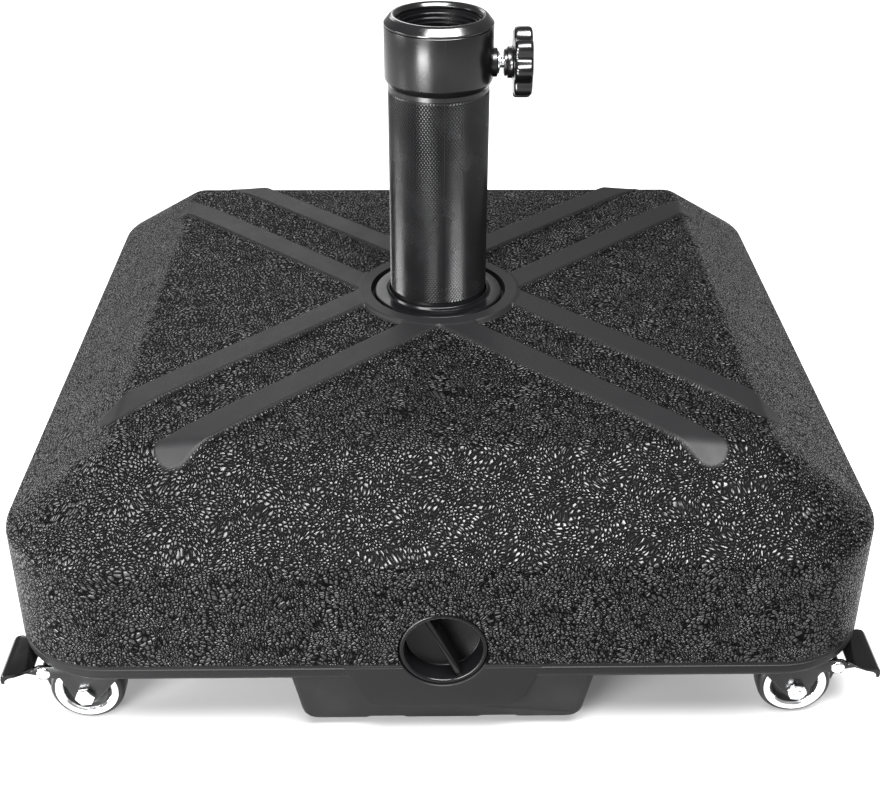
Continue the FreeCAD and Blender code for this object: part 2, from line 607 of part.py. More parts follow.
doc.recompute()
for thing in doc.Objects:
    if "Invalid" in thing.State or "Error" in thing.State:
        raise RuntimeError(f"{thing.Label}: {thing.State}")
os.makedirs("parts", exist_ok=True)
for thing in NODES:
    if thing.Shape.isNull() or not thing.Shape.isValid():
        raise RuntimeError(f"{thing.Label}: no valid shape")
    thing.Shape.exportStep(os.path.join("parts", f"{thing.Label}.step"))
    bounds = thing.Shape.BoundBox
    print(f"{thing.Label:28s} solids {len(thing.Shape.Solids)} volume {thing.Shape.Volume:12.1f} "
          f"x {bounds.XMin:7.1f} {bounds.XMax:7.1f} y {bounds.YMin:7.1f} {bounds.YMax:7.1f} "
          f"z {bounds.ZMin:6.1f} {bounds.ZMax:6.1f}")
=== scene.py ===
import json
import math

import bmesh
import bpy
import numpy as np
from mathutils import Euler, Matrix, Vector
from mathutils.geometry import delaunay_2d_cdt


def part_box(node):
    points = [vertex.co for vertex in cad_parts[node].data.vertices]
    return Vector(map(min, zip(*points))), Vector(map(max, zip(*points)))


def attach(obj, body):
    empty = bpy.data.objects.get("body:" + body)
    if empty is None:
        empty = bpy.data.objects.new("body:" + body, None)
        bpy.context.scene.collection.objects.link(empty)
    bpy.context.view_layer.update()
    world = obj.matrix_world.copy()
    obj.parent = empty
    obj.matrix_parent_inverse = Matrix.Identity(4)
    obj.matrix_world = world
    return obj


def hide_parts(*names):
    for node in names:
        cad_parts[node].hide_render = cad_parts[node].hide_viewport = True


# A mobile parasol base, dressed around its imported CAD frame.
# Shapes below are worked out in millimetres and turned into metres when a mesh is made.
# +Z up, -Y is the plug's side, +X is the knob's side, z = 0 is the floor.

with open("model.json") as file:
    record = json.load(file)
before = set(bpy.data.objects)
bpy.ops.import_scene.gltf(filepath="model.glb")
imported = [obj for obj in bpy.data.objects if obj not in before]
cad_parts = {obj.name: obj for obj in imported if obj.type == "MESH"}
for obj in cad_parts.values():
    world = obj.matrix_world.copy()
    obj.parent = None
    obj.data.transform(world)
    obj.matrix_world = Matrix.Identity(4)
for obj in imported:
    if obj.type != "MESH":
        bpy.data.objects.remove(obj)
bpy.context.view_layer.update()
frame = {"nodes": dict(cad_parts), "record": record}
MM = 0.001
TAU = 2 * math.pi
TOP_TO_X = Matrix.Rotation(math.pi / 2, 4, "Y")            # turns a piece's top from +Z to +X
TOP_TO_Y = Matrix.Rotation(-math.pi / 2, 4, "X")


def box_mm(node):
    low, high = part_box(node)
    return low / MM, high / MM


# -------- materials

def new_material(name, color, rough, metallic=0.0, specular=0.5):
    mat = bpy.data.materials.new(name)
    mat.use_nodes = True
    bsdf = mat.node_tree.nodes["Principled BSDF"]
    bsdf.inputs["Base Color"].default_value = (*color, 1)
    bsdf.inputs["Roughness"].default_value = rough
    bsdf.inputs["Metallic"].default_value = metallic
    bsdf.inputs["Specular IOR Level"].default_value = specular
    return mat, mat.node_tree, bsdf


def node(tree, kind, settings=None, **inputs):
    """A shader node; settings are its own properties, inputs are values or sockets to link. An input is
    named by its label, with _ for a space, or as i0, i1 and so on by its number."""
    made = tree.nodes.new("ShaderNode" + kind)
    for key, value in (settings or {}).items():
        setattr(made, key, value)
    for key, value in inputs.items():
        numbered = key[0] == "i" and key[1:].isdigit()
        slot = made.inputs[int(key[1:]) if numbered else key.replace("_", " ")]
        if isinstance(value, bpy.types.NodeSocket):
            tree.links.new(value, slot)
        else:
            slot.default_value = value
    return made


def math_node(tree, operation, a, b=0.0, c=0.0):
    return node(tree, "Math", {"operation": operation}, i0=a, i1=b, i2=c).outputs[0]


def ramp(tree, value, low, high, to_low=0.0, to_high=1.0):
    made = node(tree, "MapRange", {"interpolation_type": "SMOOTHSTEP"}, Value=value,
                From_Min=low, From_Max=high, To_Min=to_low, To_Max=to_high)
    return made.outputs["Result"]


def position(tree):
    return node(tree, "TexCoord").outputs["Object"]


def noise(tree, where, scale, detail):
    return node(tree, "TexNoise", Vector=where, Scale=scale, Detail=detail).outputs["Fac"]


def shade_between(tree, factor, dark, light):
    return node(tree, "Mix", {"data_type": "RGBA"}, Factor=factor, i6=(*dark, 1), i7=(*light, 1)).outputs[2]


def bump(tree, height, distance, strength=1.0, normal=None):
    made = node(tree, "Bump", Height=height, Distance=distance, Strength=strength)
    if normal is not None:
        tree.links.new(normal, made.inputs["Normal"])
    return made.outputs["Normal"]


GRAIN_PER_M = 430.0          # pebbles to a metre
GRAIN_DEEP = 0.0007          # their height in metres
DRIFT_PER_M = 48.0           # slow waves that pull the pebbles into long shapes
DRIFT = (0.014, 0.014, 0.014)
# colour of the gaps between the pebbles: darker than the pebble tops, a painted shade in the grain's hollows
GAP_PAINTED_SHADE = (0.0004, 0.0004, 0.0004)
PEBBLE_BLACK = (0.004, 0.004, 0.0042)
SMOOTH_BLACK = (0.0032, 0.0032, 0.0034)
GAP_GLOSS, PEBBLE_GLOSS, SMOOTH_GLOSS = 0.01, 0.25, 0.07


def tank_material():
    """Black blow-moulded plastic: a raised worm-like pebble grain where the "grain" attribute is 1, smooth
    with a faint mould texture where it is 0. In the grain the gaps between the pebbles are coloured darker
    than the pebble tops, as painted shade in the hollows."""
    mat, tree, bsdf = new_material("tank_plastic", PEBBLE_BLACK, 0.4)
    where = position(tree)
    mask = node(tree, "Attribute", {"attribute_name": "grain"}).outputs["Fac"]
    smooth = math_node(tree, "SUBTRACT", 1.0, mask)
    cloud = noise(tree, where, 60.0, 2.0)
    drift = node(tree, "TexNoise", Vector=where, Scale=DRIFT_PER_M, Detail=0.0).outputs["Color"]
    pulled = node(tree, "VectorMath", {"operation": "MULTIPLY_ADD"}, i0=drift, i1=DRIFT, i2=where)
    cells = node(tree, "TexVoronoi", {"feature": "DISTANCE_TO_EDGE"}, Vector=pulled.outputs["Vector"],
                 Scale=GRAIN_PER_M, Randomness=0.9).outputs["Distance"]
    pebble = math_node(tree, "MULTIPLY", ramp(tree, cells, 0.0, 0.36), mask)
    fine = noise(tree, where, 1500.0, 1.0)
    height = math_node(tree, "MULTIPLY_ADD", fine, 0.03, pebble)
    normal = bump(tree, noise(tree, where, 9.0, 3.0), 0.003, 0.12)
    normal = bump(tree, height, GRAIN_DEEP, 1.0, normal)
    tree.links.new(normal, bsdf.inputs["Normal"])
    # in the grain the base colour starts from the gaps' painted shade and lifts to the pebble black on the
    # pebble tops; smooth parts keep their own black
    base = shade_between(tree, mask, SMOOTH_BLACK, GAP_PAINTED_SHADE)
    mix = node(tree, "Mix", {"data_type": "RGBA"}, Factor=pebble, i6=base, i7=(*PEBBLE_BLACK, 1))
    tree.links.new(mix.outputs[2], bsdf.inputs["Base Color"])
    rough = ramp(tree, cloud, 0.3, 0.7, 0.36, 0.41)
    tree.links.new(math_node(tree, "MULTIPLY_ADD", smooth, 0.10, rough), bsdf.inputs["Roughness"])
    gloss = math_node(tree, "MULTIPLY_ADD", ramp(tree, pebble, 0.1, 0.8), PEBBLE_GLOSS, GAP_GLOSS)
    gloss = math_node(tree, "MULTIPLY_ADD", smooth, SMOOTH_GLOSS, gloss)
    tree.links.new(gloss, bsdf.inputs["Specular IOR Level"])
    return mat


def plastic(name, color, rough, spread, bump_scale, bump_depth, specular=0.5):
    """Moulded black plastic: roughness that clouds by spread either way, and a faint ripple with
    bump_scale waves to a metre."""
    mat, tree, bsdf = new_material(name, color, rough, specular=specular)
    where = position(tree)
    cloud = noise(tree, where, 38.0, 3.0)
    fine = noise(tree, where, bump_scale, 2.0)
    tree.links.new(ramp(tree, cloud, 0.3, 0.7, rough - spread, rough + spread), bsdf.inputs["Roughness"])
    light = tuple(c * 1.9 for c in color)
    tree.links.new(shade_between(tree, cloud, color, light), bsdf.inputs["Base Color"])
    tree.links.new(bump(tree, fine, bump_depth, 0.6), bsdf.inputs["Normal"])
    return mat


def metal(name, color, rough, scratch=0.5):
    """Plated metal: fine scratches, cloudy plating."""
    mat, tree, bsdf = new_material(name, color, rough, metallic=1.0)
    where = position(tree)
    cloud = noise(tree, where, 160.0, 4.0)
    stretched = node(tree, "Mapping", Vector=where, Scale=(1.0, 9.0, 3.0)).outputs["Vector"]
    lines = noise(tree, stretched, 700.0, 3.0)
    tree.links.new(ramp(tree, cloud, 0.3, 0.75, rough * 0.6, rough * 1.7), bsdf.inputs["Roughness"])
    dark = tuple(c * 0.72 for c in color)
    shade = shade_between(tree, ramp(tree, cloud, 0.35, 0.6), dark, color)
    tree.links.new(shade, bsdf.inputs["Base Color"])
    tree.links.new(bump(tree, lines, 0.00003, scratch), bsdf.inputs["Normal"])
    return mat


MATERIALS = {
    "tank": tank_material(),
    "tube": plastic("tube_plastic", (0.0010, 0.0010, 0.0011), 0.25, 0.04, 900.0, 0.00003, 0.20),
    "ring": plastic("ring_plastic", (0.0010, 0.0010, 0.0011), 0.20, 0.04, 600.0, 0.00002, 0.3),
    "bush": plastic("bush_plastic", (0.0006, 0.0006, 0.0007), 0.26, 0.05, 600.0, 0.00003, 0.12),
    "gloss_black": plastic("gloss_plastic", (0.0008, 0.0008, 0.0009), 0.22, 0.04, 500.0, 0.00002, 0.07),
    "knob": plastic("knob_plastic", (0.0008, 0.0008, 0.0009), 0.20, 0.04, 500.0, 0.00002, 0.28),
    "plug": plastic("plug_plastic", (0.0010, 0.0010, 0.0011), 0.25, 0.05, 400.0, 0.00003, 0.12),
    "pad": plastic("pad_plastic", (0.03, 0.03, 0.03), 0.55, 0.05, 900.0, 0.00005),
    "rubber": plastic("seal_rubber", (0.010, 0.010, 0.010), 0.62, 0.06, 1500.0, 0.00006, 0.35),
    "tyre": plastic("tyre_rubber", (0.0016, 0.0016, 0.0016), 0.40, 0.07, 1300.0, 0.00006, 0.25),
    "zinc": metal("bright_zinc", (0.86, 0.87, 0.88), 0.13),
    "ball_steel": metal("ball_steel", (0.80, 0.80, 0.80), 0.07, 0.1),
    "brass": metal("insert_brass", (0.80, 0.62, 0.32), 0.25),
    "black_steel": plastic("black_coated_steel", (0.0018, 0.0018, 0.0019), 0.26, 0.06, 1400.0, 0.00004,
                           0.25),
    "rim": metal("bright_rim", (0.90, 0.90, 0.91), 0.10, 0.3),
    "pedal": plastic("pedal_plastic", (0.0006, 0.0006, 0.0006), 0.13, 0.03, 500.0, 0.00002, 0.3),
}
for cad_name, cad_object in frame["nodes"].items():
    part = next(p for p in frame["record"]["subparts"] if p["node"] == cad_name)
    for index in range(len(cad_object.data.materials)):
        cad_object.data.materials[index] = MATERIALS[part["material_slot"]]


# -------- mesh helpers

def make_object(name, points, faces, slot, sharp_angle=34.0):
    """A mesh object from millimetre points; edges sharper than the angle stay sharp."""
    mesh = bpy.data.meshes.new(name)
    mesh.from_pydata([tuple(c * MM for c in p) for p in points], [], faces)
    mesh.validate()
    obj = bpy.data.objects.new(name, mesh)
    bpy.context.scene.collection.objects.link(obj)
    mesh.materials.append(MATERIALS[slot])
    fix_normals(obj, sharp_angle)
    return obj


def fix_normals(obj, sharp_angle=34.0):
    bm = bmesh.new()
    bm.from_mesh(obj.data)
    bmesh.ops.recalc_face_normals(bm, faces=bm.faces)
    for face in bm.faces:
        face.smooth = True
    bm.to_mesh(obj.data)
    bm.free()
    obj.data.set_sharp_from_angle(angle=math.radians(sharp_angle))


def place(obj, body, slot, *nodes):
    """Rides on a body and stands for CAD nodes. The slot argument is not used."""
    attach(obj, body)
    if nodes:
        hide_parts(*nodes)
    return obj


def soften(outline, radii, steps=4):
    """Rounds the corners of an outline of 2-D points; radii is one number or one for each corner."""
    count = len(outline)
    if not isinstance(radii, (list, tuple)):
        radii = [radii] * count
    out = []
    for i, point in enumerate(outline):
        here = Vector(point)
        if radii[i] <= 0:
            out.append(here)
            continue
        back = Vector(outline[i - 1]) - here
        ahead = Vector(outline[(i + 1) % count]) - here
        turn = back.angle(ahead)
        reach = min(radii[i] / math.tan(turn / 2), back.length * 0.49, ahead.length * 0.49)
        start, stop = here + back.normalized() * reach, here + ahead.normalized() * reach
        for k in range(steps + 1):
            t = k / steps
            out.append(start * (1 - t) ** 2 + here * 2 * t * (1 - t) + stop * t ** 2)
    return out


def moved(part, matrix):
    points, faces = part
    return [tuple(matrix @ Vector(p)) for p in points], faces


def swept(rows, count=96, shape=None):
    """Points and closed faces of rows (radius, height, share) turned about +Z; shape(angle, height) times
    the row's share is added to its radius. A radius of 0 becomes a pole."""
    points, faces, rings = [], [], []
    for radius, height, share in rows:
        if radius < 1e-6:
            rings.append([len(points)])
            points.append((0.0, 0.0, height))
            continue
        rings.append(list(range(len(points), len(points) + count)))
        for i in range(count):
            a = TAU * i / count
            r = radius + (share * shape(a, height) if share else 0.0)
            points.append((r * math.cos(a), r * math.sin(a), height))
    pairs = list(zip(rings, rings[1:]))
    if len(rings[0]) > 1 and len(rings[-1]) > 1:
        pairs.append((rings[-1], rings[0]))
    for low, high in pairs:
        for i in range(count):
            j = (i + 1) % count
            ring = [low[i % len(low)], low[j % len(low)], high[j % len(high)], high[i % len(high)]]
            faces.append(tuple(dict.fromkeys(ring)))
    return points, faces


def lathe(profile, count=96):
    """Points and faces of a profile of (radius, height) turned about +Z."""
    return swept([(radius, height, 0) for radius, height in profile], count)


def lathed(name, profile, slot, matrix=None, count=96, rounding=0.4, steps=3):
    """A turned piece whose corners are softened; matrix puts it in place, in millimetres."""
    part = lathe(soften(profile, rounding, steps), count)
    if matrix is not None:
        part = moved(part, matrix)
    return make_object(name, *part, slot)


def stack_faces(count, levels):
    """The faces of closed outlines of count points stacked in levels, with both ends closed."""
    faces = []
    for k in range(levels - 1):
        for i in range(count):
            j = (i + 1) % count
            faces.append((k * count + i, k * count + j, (k + 1) * count + j, (k + 1) * count + i))
    return faces + [tuple(range(count)), tuple(range((levels - 1) * count, levels * count))]


def prism(outline, low, high, rounding=0.4, steps=2):
    """Points and faces of an outline in (u, v) raised from low to high along w, its edges rounded."""
    count = len(outline)
    normals = []
    for i in range(count):
        a, b = Vector(outline[i - 1]), Vector(outline[(i + 1) % count])
        along = (b - a).normalized()
        normals.append(Vector((along.y, -along.x)))
    area = sum(Vector(outline[i - 1]).cross(Vector(outline[i])) for i in range(count))
    flip = 1 if area > 0 else -1
    rows = []
    for k in range(steps + 1):
        a = math.pi / 2 * k / steps
        rows.append((rounding * (1 - math.sin(a)), low + rounding * (1 - math.cos(a))))
    rows += [(inset, low + high - w) for inset, w in reversed(rows)]
    points = []
    for inset, w in rows:
        for point, normal in zip(outline, normals):
            moved = Vector(point) - normal * inset * flip
            points.append((moved.x, moved.y, w))
    faces = stack_faces(count, len(rows))
    faces[-2] = faces[-2][::-1]            # the low end faces away from the high one
    return points, faces


def circle(radius, count, start=0.0):
    angles = [start + TAU * i / count for i in range(count)]
    return [(radius * math.cos(a), radius * math.sin(a)) for a in angles]


def cylinder_cutter(radius, low, high, matrix):
    return moved(lathe([(0, low), (radius, low), (radius, high), (0, high)], 72), matrix)


def boolean(obj, other, operation):
    """Adds or removes another mesh, then deletes it."""
    step = obj.modifiers.new("step", "BOOLEAN")
    step.operation = operation
    step.solver = "MANIFOLD"
    step.object = other
    bpy.context.view_layer.update()
    baked = bpy.data.meshes.new_from_object(obj.evaluated_get(bpy.context.evaluated_depsgraph_get()))
    obj.modifiers.clear()
    old = obj.data
    obj.data = baked
    bpy.data.meshes.remove(old)
    bpy.data.objects.remove(other)


def joined_mesh(*parts):
    """Several (points, faces) as one."""
    points, faces = [], []
    for some_points, some_faces in parts:
        base = len(points)
        points += some_points
        faces += [tuple(base + i for i in face) for face in some_faces]
    return points, faces



# -------- tank

tank_low, tank_high = box_mm("tank_shell")
HALF = (tank_high.y - tank_low.y) / 2
CORNER_WALL, CORNER_CREST = 64.0, 8.0      # radius of the upright corners at the wall and at the crest
BOSS_TOP = tank_high.z
KEEL_LOW = tank_low.z
RIM_LOW, RIM_ROUND = 50.0, 5.0
EDGE_Z, EDGE_ROUND = 140.0, 6.0
CREST_IN, CREST_Z, CREST_ROUND = 69.0, 187.0, 16.0
DOME = 3.0                                 # rise of the top face from its crest to its middle
RIB_MID, RIB_HALF, RIB_HIGH, RIB_END = 31.4, 11.5, 3.0, 272.0
RIB_FADE_FROM, RIB_FADE_TO, RIB_FADE = RIB_END - 26, RIB_END + 6, 0.8
BOSS_RADIUS, SEAT_RADIUS, SEAT_Z = 61.0, 51.0, 185.0
SIDE_SOFT = 1.5                            # half the plan width of a rib's or the boss's side
SIDE_LINES = (-2.2, -SIDE_SOFT, -0.8, 0.0, 0.8, SIDE_SOFT, 2.2)
RIB_LINES = (-2.6, -SIDE_SOFT, -0.8, 0.0, 0.8, SIDE_SOFT, 2.6)
GRID = 7.0                                 # spacing of the loose points of the top face
RING_COUNT = 120                           # points round the boss and the seat
TANK_SHARP = 32.0                          # degrees
GRAIN_LOW = 63.0
WALL = 4.0
PARTING_Z, BAND_IN, RIM_IN = 59.5, 0.5, 0.4   # above and below it the wall lies in a little


def corner_radius(inset):
    """The upright corner's radius, which shrinks from the wall to the crest."""
    return np.maximum(CORNER_WALL - (CORNER_WALL - CORNER_CREST) * inset / CREST_IN, 2.0)


def inward(x, y):
    """How far a plan point lies in from the tank's outline, by bisection."""
    x, y = np.abs(np.asarray(x, float)), np.abs(np.asarray(y, float))
    low, high = np.zeros_like(x) - 6, np.zeros_like(x) + HALF - 4
    for _step in range(26):
        inset = (low + high) / 2
        radius = corner_radius(inset)
        axis = HALF - inset - radius
        qx, qy = x - axis, y - axis
        outside = np.hypot(np.maximum(qx, 0), np.maximum(qy, 0))
        beyond = outside + np.minimum(np.maximum(qx, qy), 0) - radius
        low, high = np.where(beyond < 0, inset, low), np.where(beyond < 0, high, inset)
    return (low + high) / 2


def profile_rows():
    """(inset, height) from the top of the wall over the edge and the bevel to just past the crest."""
    wall_end = Vector((0, EDGE_Z - 30))
    edge = Vector((0, EDGE_Z))
    crest = Vector((CREST_IN, CREST_Z))
    beyond = Vector((CREST_IN + 40, CREST_Z + 40 * DOME / HALF))

    def arc(a, b, c, radius, steps):
        back, ahead = (a - b).normalized(), (c - b).normalized()
        half = back.angle(ahead) / 2
        reach = radius / math.tan(half)
        centre = b + (back + ahead).normalized() * (radius / math.sin(half))
        first, last = b + back * reach, b + ahead * reach
        spread = (first - centre).angle(last - centre)
        return [centre + (first - centre) * (math.sin((1 - t) * spread) / math.sin(spread))
                + (last - centre) * (math.sin(t * spread) / math.sin(spread))
                for t in (k / steps for k in range(steps + 1))]

    edge_arc = arc(wall_end, edge, crest, EDGE_ROUND, 8)
    crest_arc = arc(edge, crest, beyond, CREST_ROUND, 7)
    bevel = [edge_arc[-1].lerp(crest_arc[0], k / 8) for k in range(1, 8)]
    return edge_arc + bevel + crest_arc


PROFILE = profile_rows()
PROFILE_D = np.array([p.x for p in PROFILE])
PROFILE_Z = np.array([p.y for p in PROFILE])


def soft_step(value, low, high):
    t = np.clip((value - low) / (high - low), 0, 1)
    return t * t * (3 - 2 * t)


def along_across(x, y):
    """Distances along and across the nearest diagonal."""
    x, y = np.abs(x), np.abs(y)
    return (x + y) / math.sqrt(2), np.abs(x - y) / math.sqrt(2)


def from_rib(x, y):
    """Distance from the middle line of the nearest rib, which has a round end."""
    along, across = along_across(x, y)
    return np.hypot(across - RIB_MID, np.maximum(along - RIB_END, 0))


def rib_cover(x, y):
    """1 on a rib's flat top, 0 off it, soft at its sides."""
    return 1 - soft_step(from_rib(x, y), RIB_HALF - SIDE_SOFT, RIB_HALF + SIDE_SOFT)


def top_height(x, y):
    """Height of the tank's upper face at plan points."""
    d = inward(x, y)
    flat = CREST_Z + DOME * (1 - (np.abs(x) ** 4 + np.abs(y) ** 4) ** 0.25 / HALF)
    base = np.interp(d, PROFILE_D, PROFILE_Z)
    blend = soft_step(d, PROFILE_D[-1] - 2, PROFILE_D[-1] + 30)
    base = np.where(d > PROFILE_D[-1], PROFILE_Z[-1] * (1 - blend) + flat * blend, base)
    along, _across = along_across(x, y)
    z = base + RIB_HIGH * rib_cover(x, y) * (1 - RIB_FADE * soft_step(along, RIB_FADE_FROM, RIB_FADE_TO))
    boss = soft_step(np.hypot(x, y), BOSS_RADIUS + SIDE_SOFT, BOSS_RADIUS - SIDE_SOFT)
    return z * (1 - boss) + BOSS_TOP * boss


def outline(inset, step=6.0):
    """The tank's plan outline, moved in, as points that start on +X and go round."""
    radius = float(corner_radius(inset))
    reach = HALF - inset
    axis = reach - radius
    sides = int(round(2 * (HALF - CORNER_WALL) / step))
    turns = 14
    points = []
    for quarter in range(4):
        turn = Matrix.Rotation(quarter * math.pi / 2, 2)
        for i in range(sides):
            points.append(turn @ Vector((reach, -axis + 2 * axis * i / sides)))
        for i in range(turns):
            a = math.pi / 2 * i / turns
            points.append(turn @ Vector((axis + radius * math.cos(a), axis + radius * math.sin(a))))
    return points


def tank_top():
    """The upper face as one triangulated sheet whose edges follow every rib, the boss and the bevel."""
    points, edges = [], []

    def line(loop, closed=True):
        base, count = len(points), len(loop)
        points.extend(Vector(p) for p in loop)
        edges.extend((base + i, base + (i + 1) % count) for i in range(count if closed else count - 1))

    for row in PROFILE:
        line(outline(row.x))
    last = PROFILE[-1].x
    for radius in [SEAT_RADIUS, SEAT_RADIUS + 4] + [BOSS_RADIUS + side for side in SIDE_LINES]:
        line(circle(radius, RING_COUNT))
    for quarter in range(4):
        turn = Matrix.Rotation(math.pi / 4 + quarter * math.pi / 2, 2)
        for side in (-1, 1):
            for offset in RIB_LINES:
                half = RIB_HALF + offset
                loop = []
                for edge in (-1, 1):
                    v = side * RIB_MID + edge * half
                    start = math.sqrt(max((BOSS_RADIUS - 6) ** 2 - v * v, 0)) + 1
                    run = [(start + (RIB_END - start) * i / 40, v) for i in range(41)]
                    loop += run if edge < 0 else run[::-1]
                    if edge < 0:
                        loop += [(RIB_END + half * math.sin(a), side * RIB_MID - half * math.cos(a))
                                 for a in (math.pi * k / 16 for k in range(1, 16))]
                line([turn @ Vector(p) for p in loop], closed=False)
    cells = int(HALF / GRID)
    for i in range(-cells, cells + 1):
        for j in range(-cells, cells + 1):
            x, y = i * GRID + 0.31 * (j % 2), j * GRID + 0.27 * (i % 2)
            if float(inward(x, y)) < last + 3 or math.hypot(x, y) < BOSS_RADIUS + 4:
                continue
            if abs(float(from_rib(x, y)) - RIB_HALF) < 4.5:
                continue
            points.append(Vector((x, y)))
    verts, _e, faces, *_rest = delaunay_2d_cdt(points, edges, [], 0, 1e-4)
    flat = np.array([tuple(v) for v in verts])
    tri = np.array([tuple(f) for f in faces if len(f) == 3])
    corners = flat[tri]
    middle = corners.mean(1)
    side_a, side_b = corners[:, 1] - corners[:, 0], corners[:, 2] - corners[:, 0]
    area = np.abs(side_a[:, 0] * side_b[:, 1] - side_a[:, 1] * side_b[:, 0]) / 2
    outermost = (np.abs(corners).max(2) > HALF - 0.01).all(1)
    tri = tri[(np.hypot(middle[:, 0], middle[:, 1]) > SEAT_RADIUS) & ~((area < 0.01) & outermost)]
    return flat, top_height(flat[:, 0], flat[:, 1]), tri


def build_tank():
    flat, heights, tri = tank_top()
    points = [(x, y, z) for (x, y), z in zip(flat, heights)]
    faces = [tuple(int(i) for i in t) for t in tri]

    def nearest(p):
        return int(np.argmin((flat[:, 0] - p[0]) ** 2 + (flat[:, 1] - p[1]) ** 2))

    # down the wall: grain down to GRAIN_LOW, then the smooth rim band with its parting line, as
    # (inset, height)
    rows = [(0, 118), (0, 100), (0, 82), (0, GRAIN_LOW + 0.6), (0.0, GRAIN_LOW - 0.4),
            (BAND_IN, GRAIN_LOW - 1.0), (BAND_IN, PARTING_Z + 1.5), (BAND_IN, PARTING_Z + 0.7),
            (0.0, PARTING_Z + 0.3), (0.0, PARTING_Z - 0.2), (RIM_IN, PARTING_Z - 0.6), (RIM_IN, 56.0)]
    rows += [(RIM_IN + RIM_ROUND * (1 - math.cos(a)), RIM_LOW + RIM_ROUND * (1 - math.sin(a)))
             for a in (0.0, 0.25, 0.5, 0.8, 1.1, 1.35, math.pi / 2)]
    rows += [(14.0, RIM_LOW)]
    above = [nearest(p) for p in outline(0.0)]
    for inset, z in rows:
        base = len(points)
        ring = outline(inset)
        points += [(p.x, p.y, z) for p in ring]
        below = list(range(base, base + len(ring)))
        for i in range(len(ring)):
            j = (i + 1) % len(ring)
            faces.append((above[i], above[j], below[j], below[i]))
        above = below
    faces.append(tuple(above))
    # the disc's seat: a wall down from the boss and a floor
    seat_ring = circle(SEAT_RADIUS, RING_COUNT)
    seat = [nearest(p) for p in seat_ring]
    base = len(points)
    points += [(x, y, SEAT_Z) for x, y in seat_ring]
    for i in range(RING_COUNT):
        j = (i + 1) % RING_COUNT
        faces.append((seat[i], seat[j], base + j, base + i))
    faces.append(tuple(range(base, base + RING_COUNT)))
    body = make_object("tank_body", points, faces, "tank", TANK_SHARP)
    boolean(body, keel_object(), "UNION")
    boolean(body, panel_object(), "UNION")
    for cutter in tank_cutters():
        boolean(body, cutter, "DIFFERENCE")
    boolean(body, hollow_object(), "DIFFERENCE")
    fix_normals(body, TANK_SHARP)
    mark_grain(body)
    return body


def loose(name, part):
    return make_object(name, *part, "tank")


KEEL_TOP_HALF, KEEL_HALF, KEEL_ROUND = 99.5, 91.0, 12.0
KEEL_END_TOP, KEEL_END = 278.0, 271.0
GROOVE_MID, GROOVE_HALF, GROOVE_DEEP = 37.0, 14.0, 3.0


def keel_object():
    """The deep middle part, tapered on all sides, with two grooves along its underside."""
    half_outline = [(KEEL_HALF, KEEL_LOW), (GROOVE_MID + GROOVE_HALF, KEEL_LOW),
                    (GROOVE_MID + GROOVE_HALF - 3, KEEL_LOW + GROOVE_DEEP),
                    (GROOVE_MID - GROOVE_HALF + 3, KEEL_LOW + GROOVE_DEEP),
                    (GROOVE_MID - GROOVE_HALF, KEEL_LOW)]
    bottom = half_outline + [(-x, z) for x, z in reversed(half_outline)]
    top = RIM_LOW + RIM_ROUND
    section = [(KEEL_TOP_HALF, top)] + bottom + [(-KEEL_TOP_HALF, top)]
    section = soften(section, [0, KEEL_ROUND] + [2] * 8 + [KEEL_ROUND, 0], 5)
    slices = list(zip([0.0, 0.6, 1.6, 3.4, 6.0], [6.0, 3.9, 1.9, 0.6, 0.0]))
    stations = [(-1, e, i) for e, i in slices] + [(1, e, i) for e, i in reversed(slices)]
    points = []
    for side, depth, inset in stations:
        for x, z in section:
            end = KEEL_END_TOP - (KEEL_END_TOP - KEEL_END) * (top - z) / (top - KEEL_LOW)
            low_cut = max(0.0, KEEL_LOW + 10 - z) / 10
            y = side * (end - depth - low_cut ** 2 * 3.5)
            points.append((x - math.copysign(inset * (abs(x) / KEEL_TOP_HALF) ** 6, x), y, z))
    return loose("keel", (points, stack_faces(len(section), len(stations))))


PANEL_LOW, PANEL_LOW_HALF, PANEL_TOP, PANEL_TOP_HALF, PANEL_DEEP = 28, 48, 61.8, 64, 12


def panel_object():
    """The plain panel round the plug, a little proud of the rim band and the keel."""
    corners = [(-PANEL_LOW_HALF, PANEL_LOW), (PANEL_LOW_HALF, PANEL_LOW), (PANEL_TOP_HALF, PANEL_TOP),
               (-PANEL_TOP_HALF, PANEL_TOP)]
    part = prism(soften(corners, [9, 9, 0.5, 0.5], 5), 0, PANEL_DEEP, 0.5, 3)
    turn = Matrix.Translation((0, -HALF + 0.15 + PANEL_DEEP, 0)) @ Matrix.Rotation(math.pi / 2, 4, "X")
    return loose("panel", moved(part, turn))


WELL_RADIUS = 56.0                         # round the well in which the tube stands
POST_RADIUS, POST_TOP = 26.0, 88           # round each caster's pocket
POCKET_RADIUS, POCKET_TOP, STEM_RADIUS, STEM_TOP = 21.0, 64, 7.5, 84


def hollow_object():
    """The room inside the tank, one wall in from its outside, clear of the seat and the caster posts."""
    rings = [(WALL, RIM_LOW + WALL), (WALL, EDGE_Z - 8), (WALL + 6, EDGE_Z + 2),
             (CREST_IN + 1, CREST_Z - WALL - 1), (CREST_IN + 3, CREST_Z - WALL - 0.4)]
    points = []
    for inset, z in rings:
        points += [(p.x, p.y, z) for p in outline(inset, 40.0)]
    hollow = loose("hollow", (points, stack_faces(len(points) // len(rings), len(rings))))
    seat_block = loose("seat_block", cylinder_cutter(WELL_RADIUS, 0, 260, Matrix.Identity(4)))
    boolean(hollow, seat_block, "DIFFERENCE")
    for x, y in CASTER_SPOTS.values():
        post = loose("post", cylinder_cutter(POST_RADIUS, 0, POST_TOP, Matrix.Translation((x, y, 0))))
        boolean(hollow, post, "DIFFERENCE")
    return hollow


